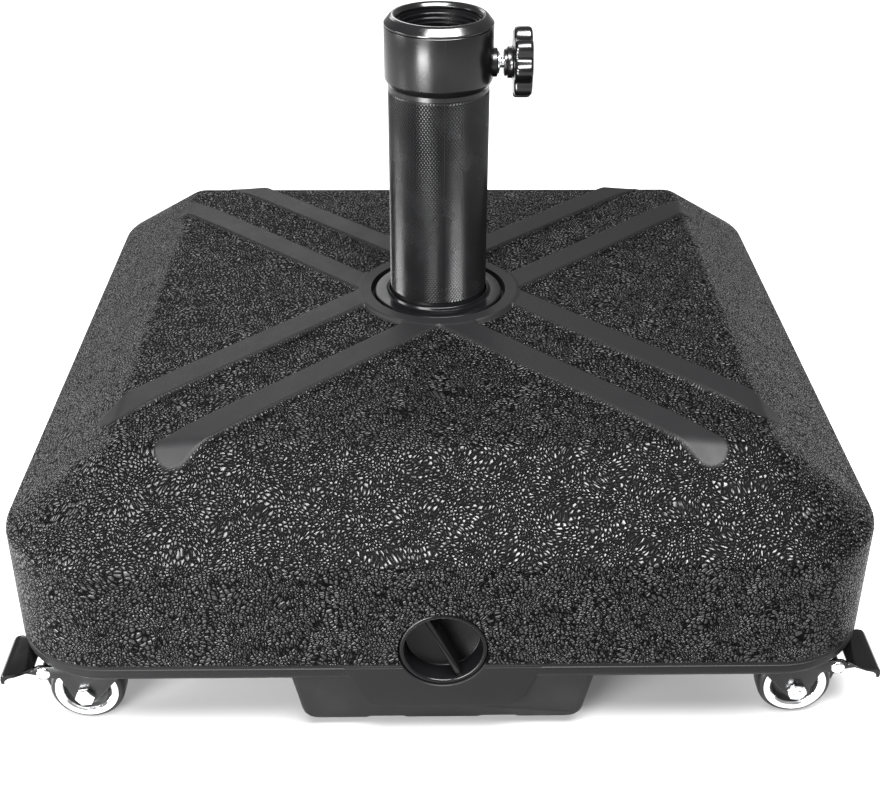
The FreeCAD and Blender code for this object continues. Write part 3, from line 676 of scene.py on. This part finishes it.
CORNERS = {"front_left": -1, "front_right": 1, "rear_left": -1, "rear_right": 1}     # side in X
CASTER_SPOTS = {}
for corner in CORNERS:
    cup_low, cup_high = box_mm(f"{corner}_race_cup")
    CASTER_SPOTS[corner] = ((cup_low.x + cup_high.x) / 2, (cup_low.y + cup_high.y) / 2)

plug_low, plug_high = box_mm("fill_plug")
PLUG_Z = (plug_low.z + plug_high.z) / 2
PLUG_RIM = (plug_high.x - plug_low.x) / 2
PLUG_FACE = -plug_low.y
PLUG_DEEP = plug_high.y - plug_low.y
NECK_RADIUS = 26.65                        # the fill hole behind the plug's seat


def tank_cutters():
    """The fill hole with its counterbore, and the casters' pockets."""
    facing = Matrix.Translation((0, -HALF, PLUG_Z)) @ TOP_TO_Y
    seat_depth = HALF - PLUG_FACE + 4.5
    steps = [(0, -8), (PLUG_RIM + 1.0, -8), (PLUG_RIM + 1.0, -0.1), (PLUG_RIM + 0.35, 0.7),
             (PLUG_RIM + 0.35, seat_depth), (NECK_RADIUS, seat_depth), (NECK_RADIUS, 40), (0, 40)]
    yield loose("hole", moved(lathe(steps, 96), facing))
    for x, y in CASTER_SPOTS.values():
        pocket = lathe([(0, 30), (POCKET_RADIUS + 0.5, 30), (POCKET_RADIUS + 0.5, RIM_LOW),
                        (POCKET_RADIUS, RIM_LOW + 0.6), (POCKET_RADIUS, POCKET_TOP),
                        (STEM_RADIUS, POCKET_TOP), (STEM_RADIUS, STEM_TOP), (0, STEM_TOP)], 48)
        yield loose("pocket", moved(pocket, Matrix.Translation((x, y, 0))))


def mark_grain(obj):
    """The grain attribute: 1 on the walls above the rim band, on the bevel and on the top, else 0."""
    mesh = obj.data
    co = np.zeros(len(mesh.vertices) * 3)
    mesh.vertices.foreach_get("co", co)
    x, y, z = co.reshape(-1, 3).T / MM
    grain = soft_step(z, GRAIN_LOW - 0.6, GRAIN_LOW + 0.8) * (1 - rib_cover(x, y) * (inward(x, y) > 20))
    grain = grain * soft_step(np.hypot(x, y), BOSS_RADIUS + 0.5, BOSS_RADIUS + 1.8)
    grain = np.where((inward(x, y) > 2.5) & (z < top_height(x, y) - 3.5), 0.0, grain)
    layer = mesh.attributes.new("grain", "FLOAT", "POINT")
    layer.data.foreach_set("value", grain.astype(np.float32))


tank = build_tank()
place(tank, "base", "tank", "tank_shell")


# -------- threads

def thread_rows(low, high, radius, pitch, depth, steps=5):
    """Rows of an outside thread, run out to nothing at both ends."""
    count = int((high - low) / pitch * steps)
    rows = []
    for k in range(count + 1):
        z = low + (high - low) * k / count
        fade = min(1.0, (z - low) / pitch, (high - z) / pitch)
        rows.append((radius - depth, z, depth * fade))
    return rows


def thread_shape(pitch):
    """The height of a thread, 0 to 1, at an angle and a height."""
    def shape(angle, height):
        t = (height / pitch - angle / TAU) % 1.0
        return min(1.0, 2.4 * (1 - abs(2 * t - 1)))
    return shape


# -------- pole tube

tube_low, tube_high = box_mm("pole_tube")
ring_low, ring_high = box_mm("top_ring")
disc_low, disc_high = box_mm("foot_disc")
knob_low, knob_high = box_mm("knob_grip")
insert_high = box_mm("knob_insert")[1]
KNOB_Z = (knob_low.z + knob_high.z) / 2
TUBE_R, COLLAR_R, BORE = 35.5, 38.3, 25.0
COLLAR_LOW, COLLAR_TOP = 356.5, 394.0
KNURL_LOW, KNURL_HIGH = 196.0, 348.9
KNURL_AROUND, KNURL_ROWS = 96, 48
KNURL_DEEP, KNURL_PROUD, KNURL_FLAT = 0.12, 0.42, 0.42     # flat: half a diamond's top against its pitch
CHAMFER_LOW, PLAIN_OUT = 352.6, 0.35       # the plain ring between knurl and chamfer
SPIGOT_R, SPIGOT_TOP = 32.0, 396.4
BUSH_SEAT, BUSH_LOW = 28.0, 373.0
FOOT_R = 35.9
KNOB_BOSS_R, INSERT_HOLE_R = 10.0, 6.55
BOSS_FACE = tube_high.x
AT_KNOB = Matrix.Translation((0, 0, KNOB_Z)) @ TOP_TO_X


def knurl(points, faces):
    """Diamonds in staggered rows, each a low pyramid with a flat top, between two plain rings."""
    around, rows = KNURL_AROUND * 2, KNURL_ROWS * 2
    pitch = (KNURL_HIGH - KNURL_LOW) / rows
    grid = {}

    def spot(i, k, radius, shift_i=0.0, shift_k=0.0):
        a = TAU * (i + shift_i) / around
        points.append((radius * math.cos(a), radius * math.sin(a), KNURL_LOW + (k + shift_k) * pitch))
        return len(points) - 1

    for k in range(rows + 1):
        for i in range(around):
            if (i + k) % 2 or k in (0, rows):
                grid[i, k] = spot(i, k, TUBE_R - KNURL_DEEP if 0 < k < rows else TUBE_R)
    for k in range(rows + 1):
        for i in range(around):
            if (i + k) % 2:
                continue
            left, right = grid[(i - 1) % around, k], grid[(i + 1) % around, k]
            if k == 0:
                faces.append((left, grid[i, 0], right, grid[i, 1]))
                continue
            if k == rows:
                faces.append((right, grid[i, rows], left, grid[i, rows - 1]))
                continue
            low, high = grid[i, k - 1], grid[i, k + 1]
            top = [spot(i, k, TUBE_R + KNURL_PROUD, u * KNURL_FLAT, v * KNURL_FLAT)
                   for u, v in ((-1, 0), (0, -1), (1, 0), (0, 1))]
            rim = [left, low, right, high]
            faces.append(tuple(top))
            for s in range(4):
                faces.append((rim[s], rim[(s + 1) % 4], top[(s + 1) % 4], top[s]))


def pole_tube():
    """Knurled tube, smooth collar, spigot and bore, with the boss for the clamp screw."""
    outside = [(TUBE_R, KNURL_LOW), (TUBE_R, KNURL_HIGH), (TUBE_R + PLAIN_OUT, KNURL_HIGH + 0.5),
               (TUBE_R + PLAIN_OUT, CHAMFER_LOW), (COLLAR_R - 0.3, COLLAR_LOW),
               (COLLAR_R, COLLAR_LOW + 1.2)]
    top_edge = [(COLLAR_R - 0.8 * (1 - math.cos(a)), COLLAR_TOP - 0.8 + 0.8 * math.sin(a))
                for a in (0.0, 0.4, 0.8, 1.2, math.pi / 2)]
    inside = [(SPIGOT_R, COLLAR_TOP), (SPIGOT_R, SPIGOT_TOP - 0.3), (SPIGOT_R - 0.4, SPIGOT_TOP),
              (BUSH_SEAT, SPIGOT_TOP), (BUSH_SEAT, BUSH_LOW), (BORE, BUSH_LOW), (BORE, 22.6), (0.0, 22.0),
              (0.0, tube_low.z), (FOOT_R - 1.4, tube_low.z), (FOOT_R, tube_low.z + 1.4), (FOOT_R, 190.0)]
    rows = [(r, z, 0) for r, z in outside + top_edge + inside]
    around = KNURL_AROUND * 2
    pole_at = next(i for i, row in enumerate(rows) if row[0] == 0.0)
    rows = rows[pole_at + 1:] + rows[:pole_at + 1]
    points, faces = swept(rows, around)
    body = make_object("pole_tube_body", points, faces, "tube")
    boss = [(0, COLLAR_R - 3), (KNOB_BOSS_R, COLLAR_R - 3), (KNOB_BOSS_R, BOSS_FACE - 0.9),
            (KNOB_BOSS_R - 0.3, BOSS_FACE - 0.3), (KNOB_BOSS_R - 1, BOSS_FACE), (0, BOSS_FACE)]
    boolean(body, make_object("boss", *moved(lathe(boss, 64), AT_KNOB), "tube"), "UNION")
    bore = [(0, 20), (INSERT_HOLE_R, 20), (INSERT_HOLE_R, 60), (0, 60)]
    boolean(body, make_object("boss_bore", *moved(lathe(bore, 64), AT_KNOB), "tube"), "DIFFERENCE")
    bm = bmesh.new()
    bm.from_mesh(body.data)
    plain = [f for f in bm.faces
             if min(v.co.z for v in f.verts) < (KNURL_LOW + 0.05) * MM < (KNURL_HIGH - 0.05) * MM
             < max(v.co.z for v in f.verts)
             and all(abs(v.co.xy.length / MM - TUBE_R) < 0.02 for v in f.verts)]
    bmesh.ops.delete(bm, geom=plain, context="FACES")
    knurl_points, knurl_faces = [], []
    knurl(knurl_points, knurl_faces)
    verts = [bm.verts.new(tuple(c * MM for c in p)) for p in knurl_points]
    for face in knurl_faces:
        bm.faces.new([verts[i] for i in face])
    bmesh.ops.remove_doubles(bm, verts=bm.verts, dist=0.00002)
    bm.to_mesh(body.data)
    bm.free()
    fix_normals(body, 20.0)
    return body


def seam_bead(name, rows, slot, angle, half_width=0.28, proud=0.14):
    """A fine mould seam: a strip along rows of (radius, height), standing proud by a hair."""
    points, faces = [], []
    for radius, z in rows:
        for side, out in ((-1.6, -0.3), (-0.8, proud * 0.6), (0, proud), (0.8, proud * 0.6), (1.6, -0.3)):
            a = angle + side * half_width / radius
            points.append(((radius + out) * math.cos(a), (radius + out) * math.sin(a), z))
    for k in range(len(rows) - 1):
        for s in range(5):
            t = (s + 1) % 5
            faces.append((k * 5 + s, k * 5 + t, (k + 1) * 5 + t, (k + 1) * 5 + s))
    faces += [tuple(range(5)), tuple(range(len(points) - 5, len(points)))]
    return make_object(name, points, faces, slot)


place(pole_tube(), "base", "tube", "pole_tube")
seam_angle = math.radians(-90 + 6)
seam = [(TUBE_R + 0.3, KNURL_LOW + 2), (TUBE_R + 0.3, KNURL_HIGH), (TUBE_R + PLAIN_OUT, CHAMFER_LOW),
        (COLLAR_R - 0.3, COLLAR_LOW), (COLLAR_R, COLLAR_LOW + 1.2), (COLLAR_R, COLLAR_TOP - 1.2)]
place(seam_bead("pole_tube_seam", seam, "tube", seam_angle), "base", "tube")

top_ring = [(32.1, ring_low.z), (ring_high.x - 0.1, ring_low.z + 0.1), (ring_high.x - 0.1, 395.5),
            (34.6, 399.9), (33.2, ring_high.z - 0.1), (31.9, ring_high.z), (30.6, 400.1), (29.4, 398.2),
            (29.4, 396.75), (32.1, 396.75)]
place(lathed("top_ring_body", top_ring, "ring", count=160, rounding=0.7, steps=4),
      "base", "ring", "top_ring")

bush = [(25.1, 373.1), (27.9, 373.1), (27.9, 394.4), (26.9, 394.4), (26.5, 393.6), (26.4, 391.2),
        (25.7, 390.6), (25.5, 388.4), (25.1, 387.6)]
place(lathed("mouth_bush_body", bush, "bush", count=128, rounding=0.35), "base", "bush", "mouth_bush")

DISC_R = (disc_high.x - disc_low.x) / 2
disc = [(36.6, disc_low.z), (DISC_R - 0.05, disc_low.z), (DISC_R - 0.05, disc_low.z + 6.6),
        (47.0, disc_low.z + 7.3), (39.9, disc_low.z + 6.9), (38.6, disc_low.z + 7.3),
        (37.9, disc_high.z - 0.6), (37.3, disc_high.z), (36.6, disc_high.z - 0.5)]
place(lathed("foot_disc_body", disc, "gloss_black", count=160, rounding=0.6, steps=4),
      "base", "gloss_black", "foot_disc")


# -------- clamp knob

insert_rows = [(4.2, 31.1), (6.45, 31.1), (6.45, 41.1), (7.9, 41.1), (7.8, 42.0),
               (6.4, insert_high.x - 0.05), (4.9, insert_high.x - 0.05), (4.2, 41.9)]
place(lathed("knob_insert_body", insert_rows, "zinc", AT_KNOB, 64, 0.3), "base", "zinc", "knob_insert")

SCREW_PITCH = 1.25
screw_low, screw_high = box_mm("clamp_screw")
screw_rows = ([(0, screw_low.x, 0), (2.9, screw_low.x, 0), (3.3, screw_low.x + 0.5, 0)]
              + thread_rows(screw_low.x + 0.8, 50.0, 3.95, SCREW_PITCH, 0.6)
              + [(3.4, 51.0, 0), (3.4, screw_high.x - 0.1, 0), (0, screw_high.x - 0.1, 0)])
screw_part = moved(swept(screw_rows, 32, thread_shape(SCREW_PITCH)), AT_KNOB)
screw = make_object("clamp_screw_body", *screw_part, "zinc", 50.0)
place(screw, "knob", "zinc", "clamp_screw")

KNOB_R = (knob_high.z - knob_low.z) / 2
KNOB_OUT = knob_high.x
LOBES = 8


def lobe(angle, _height):
    """0 on a lobe's tip, -1 in the middle of a valley."""
    return -((0.5 - 0.5 * math.cos(LOBES * angle)) ** 1.35)


knob_rows = [(0, 60.2, 0), (4.05, 60.2, 0), (4.05, 45.6, 0), (4.5, 45.1, 0), (8.4, 45.1, 0), (9.2, 45.5, 0),
             (9.4, 46.3, 0), (9.4, 47.2, 0), (10.2, 47.5, 0), (10.9, 48.0, 0), (10.9, 50.7, 0),
             (11.4, 51.3, 0), (12.6, 51.6, 0), (18.5, 51.7, 0.2), (22.4, 51.9, 2.6), (24.0, 52.4, 3.3),
             (24.7, 53.2, 3.6), (KNOB_R, 54.4, 3.7), (KNOB_R, 62.0, 3.7), (24.7, 63.2, 3.6),
             (24.0, 64.1, 3.3), (22.6, 64.7, 2.6), (18.5, KNOB_OUT - 0.05, 0.4),
             (15.2, KNOB_OUT - 0.05, 0), (14.4, 64.6, 0), (13.9, 63.9, 0), (13.0, 63.5, 0), (0, 63.1, 0)]
knob = make_object("knob_grip_body", *moved(swept(knob_rows, 192, lobe), AT_KNOB), "knob", 40.0)
place(knob, "knob", "knob", "knob_grip")


# -------- fill plug

AT_PLUG = Matrix.Translation((0, plug_low.y, PLUG_Z)) @ TOP_TO_Y
PLUG_CUP, PLUG_FLOOR, PLUG_SHANK, PLUG_PITCH = 25.0, 15.0, 26.35, 4.0
plug_rows = ([(0, PLUG_FLOOR, 0), (PLUG_CUP - 1.4, PLUG_FLOOR, 0), (PLUG_CUP - 0.5, PLUG_FLOOR - 0.5, 0),
              (PLUG_CUP - 0.1, PLUG_FLOOR - 1.5, 0), (PLUG_CUP, 1.6, 0), (PLUG_CUP + 0.25, 0.7, 0),
              (PLUG_CUP + 0.8, 0.1, 0), (PLUG_CUP + 1.4, 0.0, 0), (PLUG_RIM - 1.1, 0.1, 0),
              (PLUG_RIM - 0.4, 0.5, 0), (PLUG_RIM - 0.05, 1.2, 0), (PLUG_RIM - 0.05, 2.9, 0),
              (PLUG_SHANK - 0.7, 3.0, 0)]
             + thread_rows(3.6, PLUG_DEEP - 1.4, PLUG_SHANK, PLUG_PITCH, 0.75, 8)
             + [(PLUG_SHANK - 1.2, PLUG_DEEP - 0.5, 0), (PLUG_SHANK - 2.2, PLUG_DEEP - 0.05, 0),
                (0, PLUG_DEEP - 0.05, 0)])
plug_body = swept(plug_rows, 128, thread_shape(PLUG_PITCH))
bar_outline = [(-2.0, -PLUG_CUP - 0.4), (2.0, -PLUG_CUP - 0.4), (2.0, PLUG_CUP + 0.4),
               (-2.0, PLUG_CUP + 0.4)]
bar = moved(prism(soften(bar_outline, 0.1, 1), 2.0, PLUG_FLOOR + 1.0, 0.55, 3),
            Matrix.Rotation(math.radians(-25), 4, "Z"))
plug = make_object("fill_plug_body", *moved(joined_mesh(plug_body, bar), AT_PLUG), "plug", 40.0)
place(plug, "plug", "plug", "fill_plug")


# -------- casters, trailing along their own +X

WHEEL_R, TRAIL, CHEEK_IN, CHEEK_THICK = 24.5, 18.0, 11.5, 2.0
RIVET_X, RIVET_Z = 43.0, 43.5
HEX_R, HEX_TURN = 6.6, math.radians(8)     # the bolt's head and the nut
ON_AXLE = Matrix.Translation((TRAIL, 0, WHEEL_R)) @ TOP_TO_Y
ON_RIVET = Matrix.Translation((RIVET_X, 0, RIVET_Z)) @ TOP_TO_Y


def side_plate(outline, radii, low, high, rounding=0.45):
    """A plate drawn in (x, z) that spans y from low to high."""
    part = prism(soften([(x, -z) for x, z in outline], radii, 4), low, high, rounding, 3)
    return moved(part, TOP_TO_Y)


def fork():
    outline = [(-10.5, 53.3), (10.5, 53.3), (15.0, 48.9), (45.6, 48.5), (47.9, 43.5), (46.4, 38.4),
               (41.2, 38.2), (39.6, 32.6), (38.6, 38.9), (33.0, 39.6), (25.6, 20.9), (21.6, 17.2),
               (14.4, 17.2), (10.4, 20.9), (-7.5, 41.5)]
    radii = [1.5, 2.5, 6, 4, 3, 2, 1, 0.3, 1, 6, 3, 3, 3, 3, 5]
    crown = lathe([(5.2, 51.05), (16.2, 51.05), (16.9, 51.5), (16.9, 52.8), (16.3, 53.35), (5.2, 53.35)],
                  72)
    cheeks = [side_plate(outline, radii, low, high)
              for low, high in ((CHEEK_IN, CHEEK_IN + CHEEK_THICK), (-CHEEK_IN - CHEEK_THICK, -CHEEK_IN))]
    return joined_mesh(crown, *cheeks)


def tyre():
    rows = [(18.55, -8.9), (21.2, -8.95), (22.8, -8.3), (23.9, -6.9), (24.4, -5.2), (WHEEL_R, -3.0),
            (WHEEL_R, 3.0), (24.4, 5.2), (23.9, 6.9), (22.8, 8.3), (21.2, 8.95), (18.55, 8.9)]
    web = [(8.3, 3.3), (13.4, 3.3), (14.9, 5.2), (15.5, 8.1), (15.1, 8.2), (14.1, 6.0), (12.9, 4.9),
           (8.3, 4.9)]
    back_web = [(r, -z) for r, z in reversed(web)]
    turned = [lathe(soften(rows, 0.5, 2), 96), lathe(web, 96), lathe(back_web, 96)]
    return moved(joined_mesh(*turned), ON_AXLE)


def hub():
    side = [(3.1, 11.2), (7.2, 11.2), (7.9, 10.6), (8.0, 3.6), (9.2, 3.0), (12.6, 3.0), (14.6, 4.4),
            (15.6, 8.4), (16.8, 9.7), (19.0, 10.1), (20.7, 9.6), (20.9, 9.05), (18.5, 9.0)]
    rows = side + [(r, -z) for r, z in reversed(side)]
    return moved(lathe(soften(rows, 0.35, 2), 96), ON_AXLE)


def hexagon(radius, low, high, matrix):
    outline = soften(circle(radius, 6, start=HEX_TURN), 0.35, 2)
    return moved(prism(outline, low, high, 0.55, 3), matrix)


def axle_bolt():
    start = CHEEK_IN + CHEEK_THICK
    head = hexagon(HEX_R, start, start + 3.5, ON_AXLE)
    crown = moved(lathe([(0, start + 1), (5.2, start + 1), (5.2, start + 3.6), (4.6, start + 3.9),
                         (2.4, start + 4.0), (0, start + 3.9)], 48), ON_AXLE)
    end = -18.45
    rows = ([(0, end, 0), (1.9, end, 0), (2.5, end + 0.3, 0)] + thread_rows(end + 0.4, -7.0, 2.98, 1.0, 0.4)
            + [(2.9, -6.5, 0), (2.9, start + 1, 0), (0, start + 1, 0)])
    return joined_mesh(head, crown, moved(swept(rows, 28, thread_shape(1.0)), ON_AXLE))


def axle_nut():
    start = CHEEK_IN + CHEEK_THICK
    face = moved(lathe([(3.05, -start - 3.95), (5.3, -start - 3.95), (5.9, -start - 3.4),
                        (5.9, -start - 1), (3.05, -start - 1)], 48), ON_AXLE)
    return joined_mesh(hexagon_ring(-start - 3.6, -start), face)


def hexagon_ring(low, high):
    """A hexagon with a round hole for the axle."""
    outer = soften(circle(HEX_R, 6, start=HEX_TURN), 0.35, 7)
    count = len(outer)
    angles = [math.atan2(p.y, p.x) for p in outer]
    points, faces = [], []
    edge = [(0.55, 0), (0.15, 0.2), (0, 0.55)]
    for inset, w in [(i, low + e) for i, e in edge] + [(i, high - e) for i, e in reversed(edge)]:
        points += [(p.x * (1 - inset / HEX_R), p.y * (1 - inset / HEX_R), w) for p in outer]
    for w in (high, low):
        points += [(3.05 * math.cos(a), 3.05 * math.sin(a), w) for a in angles]
    levels = len(points) // count
    for k in range(levels):
        for i in range(count):
            j, up = (i + 1) % count, (k + 1) % levels
            faces.append((k * count + i, k * count + j, up * count + j, up * count + i))
    return moved((points, faces), ON_AXLE)


def rivet():
    end = CHEEK_IN + CHEEK_THICK
    dome = [(4.45, end + 0.02), (4.4, end + 0.45), (3.9, end + 0.95), (2.8, end + 1.3), (1.4, end + 1.45)]
    far_dome = [(r, -z) for r, z in reversed(dome)]
    rows = [(0, -end - 1.48)] + far_dome + [(2.45, -end), (2.45, end)]
    return moved(lathe(rows + dome + [(0, end + 1.48)], 48), ON_RIVET)


def pedal():
    """Two ears on the rivet, a broad tread that flares out and curls down at its end, and the brake shoe."""
    ear = [(39.0, 39.5), (43.0, 37.0), (47.0, 39.5), (57.0, 41.5), (66.5, 41.5), (66.5, 45.9), (49.0, 45.9),
           (46.8, 47.3), (39.2, 47.3)]
    ears = [side_plate(ear, [1, 2, 1, 3, 1, 0.3, 1, 2, 2], low, high, 0.3)
            for low, high in ((9.25, 11.2), (-11.2, -9.25))]
    profile = [(49.1, 45.6), (52.0, 45.6), (60.0, 45.4), (65.2, 44.6), (67.3, 42.6), (67.5, 40.3),
               (68.6, 40.1), (69.7, 40.5), (69.9, 43.6), (69.3, 45.8), (67.6, 47.3), (64.5, 47.9),
               (56.0, 47.9), (49.1, 47.7)]
    profile = soften(profile, 0.5, 2)
    stations = [-20, -19.7, -18.9, -17, -11, 0, 11, 17, 18.9, 19.7, 20]
    insets = [0.9, 0.4, 0.1, 0, 0, 0, 0, 0, 0.1, 0.4, 0.9]
    middle = Vector((60.0, 46.6))
    points = []
    for y, inset in zip(stations, insets):
        for p in profile:
            towards = (middle - p).normalized() * inset
            narrow = 1 - 0.34 * max(0.0, (60.0 - p.x) / 11.0) ** 1.5
            points.append((p.x + towards.x, y * narrow, p.y + towards.y * 0.6))
    shoe = moved(prism(soften([(40.35, -37.3), (43.4, -37.3), (43.4, -40.3), (40.35, -40.3)], 0.4, 2),
                       -9.6, 9.6, 0.3, 2), TOP_TO_Y)
    tread = (points, stack_faces(len(profile), len(stations)))
    return joined_mesh(tread, *ears, shoe)


CASTER_BODIES = {
    "fork": ("caster", "black_steel", fork, 34), "axle_bolt": ("caster", "zinc", axle_bolt, 34),
    "axle_nut": ("caster", "zinc", axle_nut, 34), "brake_rivet": ("caster", "zinc", rivet, 40),
    "tyre": ("wheel", "tyre", tyre, 40), "hub": ("wheel", "rim", hub, 34),
    "brake_pedal": ("pedal", "pedal", pedal, 40),
}
for corner, side in CORNERS.items():
    spot_x, spot_y = CASTER_SPOTS[corner]
    facing = Matrix.Translation((spot_x, spot_y, 0)) @ Matrix.Rotation(0 if side > 0 else math.pi, 4, "Z")
    for piece, (body, slot, build, sharp) in CASTER_BODIES.items():
        made = make_object(f"{corner}_{piece}_body", *moved(build(), facing), slot, sharp)
        place(made, f"{corner}_{body}", slot, f"{corner}_{piece}")


# -------- camera, light and floor

def build_stage():
    """A white floor like a light table: it glows far from the object, and close to the object its glow is
    turned down into a painted shadow; the lamps also cast their own soft shadows on it.
    """
    mat, tree, bsdf = new_material("studio_floor", (0.17, 0.17, 0.17), 0.16, specular=0.3)
    where = position(tree)
    cloud = noise(tree, where, 3.0, 2.0)
    tree.links.new(ramp(tree, cloud, 0.3, 0.7, 0.14, 0.18), bsdf.inputs["Roughness"])
    bsdf.inputs["Emission Color"].default_value = (1, 1, 1, 1)
    wide = node(tree, "VectorMath", {"operation": "MULTIPLY_ADD"}, i0=where, i1=GLOW_SCALE, i2=GLOW_SHIFT)
    reach = node(tree, "VectorMath", {"operation": "LENGTH"}, i0=wide.outputs["Vector"]).outputs["Value"]
    # the glow dips round the object's foot: a painted shadow on the floor
    painted_shadow_ramp = ramp(tree, reach, GLOW_NEAR, GLOW_FAR, PAINTED_SHADOW_GLOW, GLOW_FULL)
    far = ramp(tree, reach, GLOW_EDGE, GLOW_EDGE + GLOW_FADE, 1.0, GLOW_OUTER)
    tree.links.new(math_node(tree, "MULTIPLY", painted_shadow_ramp, far), bsdf.inputs["Emission Strength"])
    bpy.ops.mesh.primitive_plane_add(size=60.0)
    floor = bpy.context.object
    floor.name = "studio_floor"
    floor.data.materials.append(mat)

    world = bpy.data.worlds.new("studio")
    bpy.context.scene.world = world
    world.use_nodes = True
    background = world.node_tree.nodes["Background"]
    background.inputs["Color"].default_value = (1, 1, 1, 1)
    background.inputs["Strength"].default_value = WORLD_LIGHT


def area_light(name, place_at, look_at, size_x, size_y, power):
    data = bpy.data.lights.new(name, "AREA")
    data.shape = "RECTANGLE"
    data.size, data.size_y = size_x, size_y
    data.energy = power
    lamp = bpy.data.objects.new(name, data)
    bpy.context.scene.collection.objects.link(lamp)
    lamp.location = place_at
    lamp.rotation_euler = (Vector(look_at) - Vector(place_at)).to_track_quat("-Z", "Y").to_euler()
    lamp.visible_camera = False


# the floor's glow is lowest close to the object, as a painted shadow, and rises to full further out
GLOW_NEAR, GLOW_FAR, PAINTED_SHADOW_GLOW, GLOW_EDGE = 0.33, 0.72, 0.12, 2.6
GLOW_SCALE, GLOW_SHIFT = (1.6, 1.0, 0.0), (0.0, 0.45, 0.0)
GLOW_FULL, GLOW_FADE, GLOW_OUTER = 1.05, 4.0, 0.42
WORLD_LIGHT = 0.42
bpy.context.scene.view_settings.view_transform = "Standard"
build_stage()
# name, place, aim, width and height in metres, power in watts
area_light("key_overhead", (0.20, -0.80, 1.7), (0.05, -0.25, 0.10), 1.5, 0.7, 290)
area_light("low_left", (-0.50, -0.78, 0.12), (0.0, -0.03, 0.36), 0.34, 0.16, 14)
area_light("front_left", (-1.0, -1.65, 0.75), (-0.1, -0.2, 0.10), 0.9, 0.5, 150)
area_light("left_side", (-1.5, -0.1, 0.5), (-0.2, -0.2, 0.12), 0.5, 0.4, 34)
area_light("rear_left", (-0.6, 1.9, 1.2), (0.0, 0.0, 0.2), 1.4, 0.5, 14)

LENS, CAMERA_AT = 56.38, (-0.014, -0.9608, 0.66285)
CAMERA_DOWN, CAMERA_TURN, CAMERA_ROLL = 30.85, -1.276, 0.411          # degrees
camera_data = bpy.data.cameras.new("main_camera")
camera_data.sensor_width = 36.0
camera_data.lens = LENS
camera = bpy.data.objects.new("main_camera", camera_data)
bpy.context.scene.collection.objects.link(camera)
camera.location = CAMERA_AT
tilt = Euler((math.radians(90 - CAMERA_DOWN), 0.0, math.radians(CAMERA_TURN)), "XYZ").to_matrix()
camera.rotation_euler = (tilt @ Matrix.Rotation(math.radians(CAMERA_ROLL), 3, "Z")).to_euler()
bpy.context.scene.camera = camera
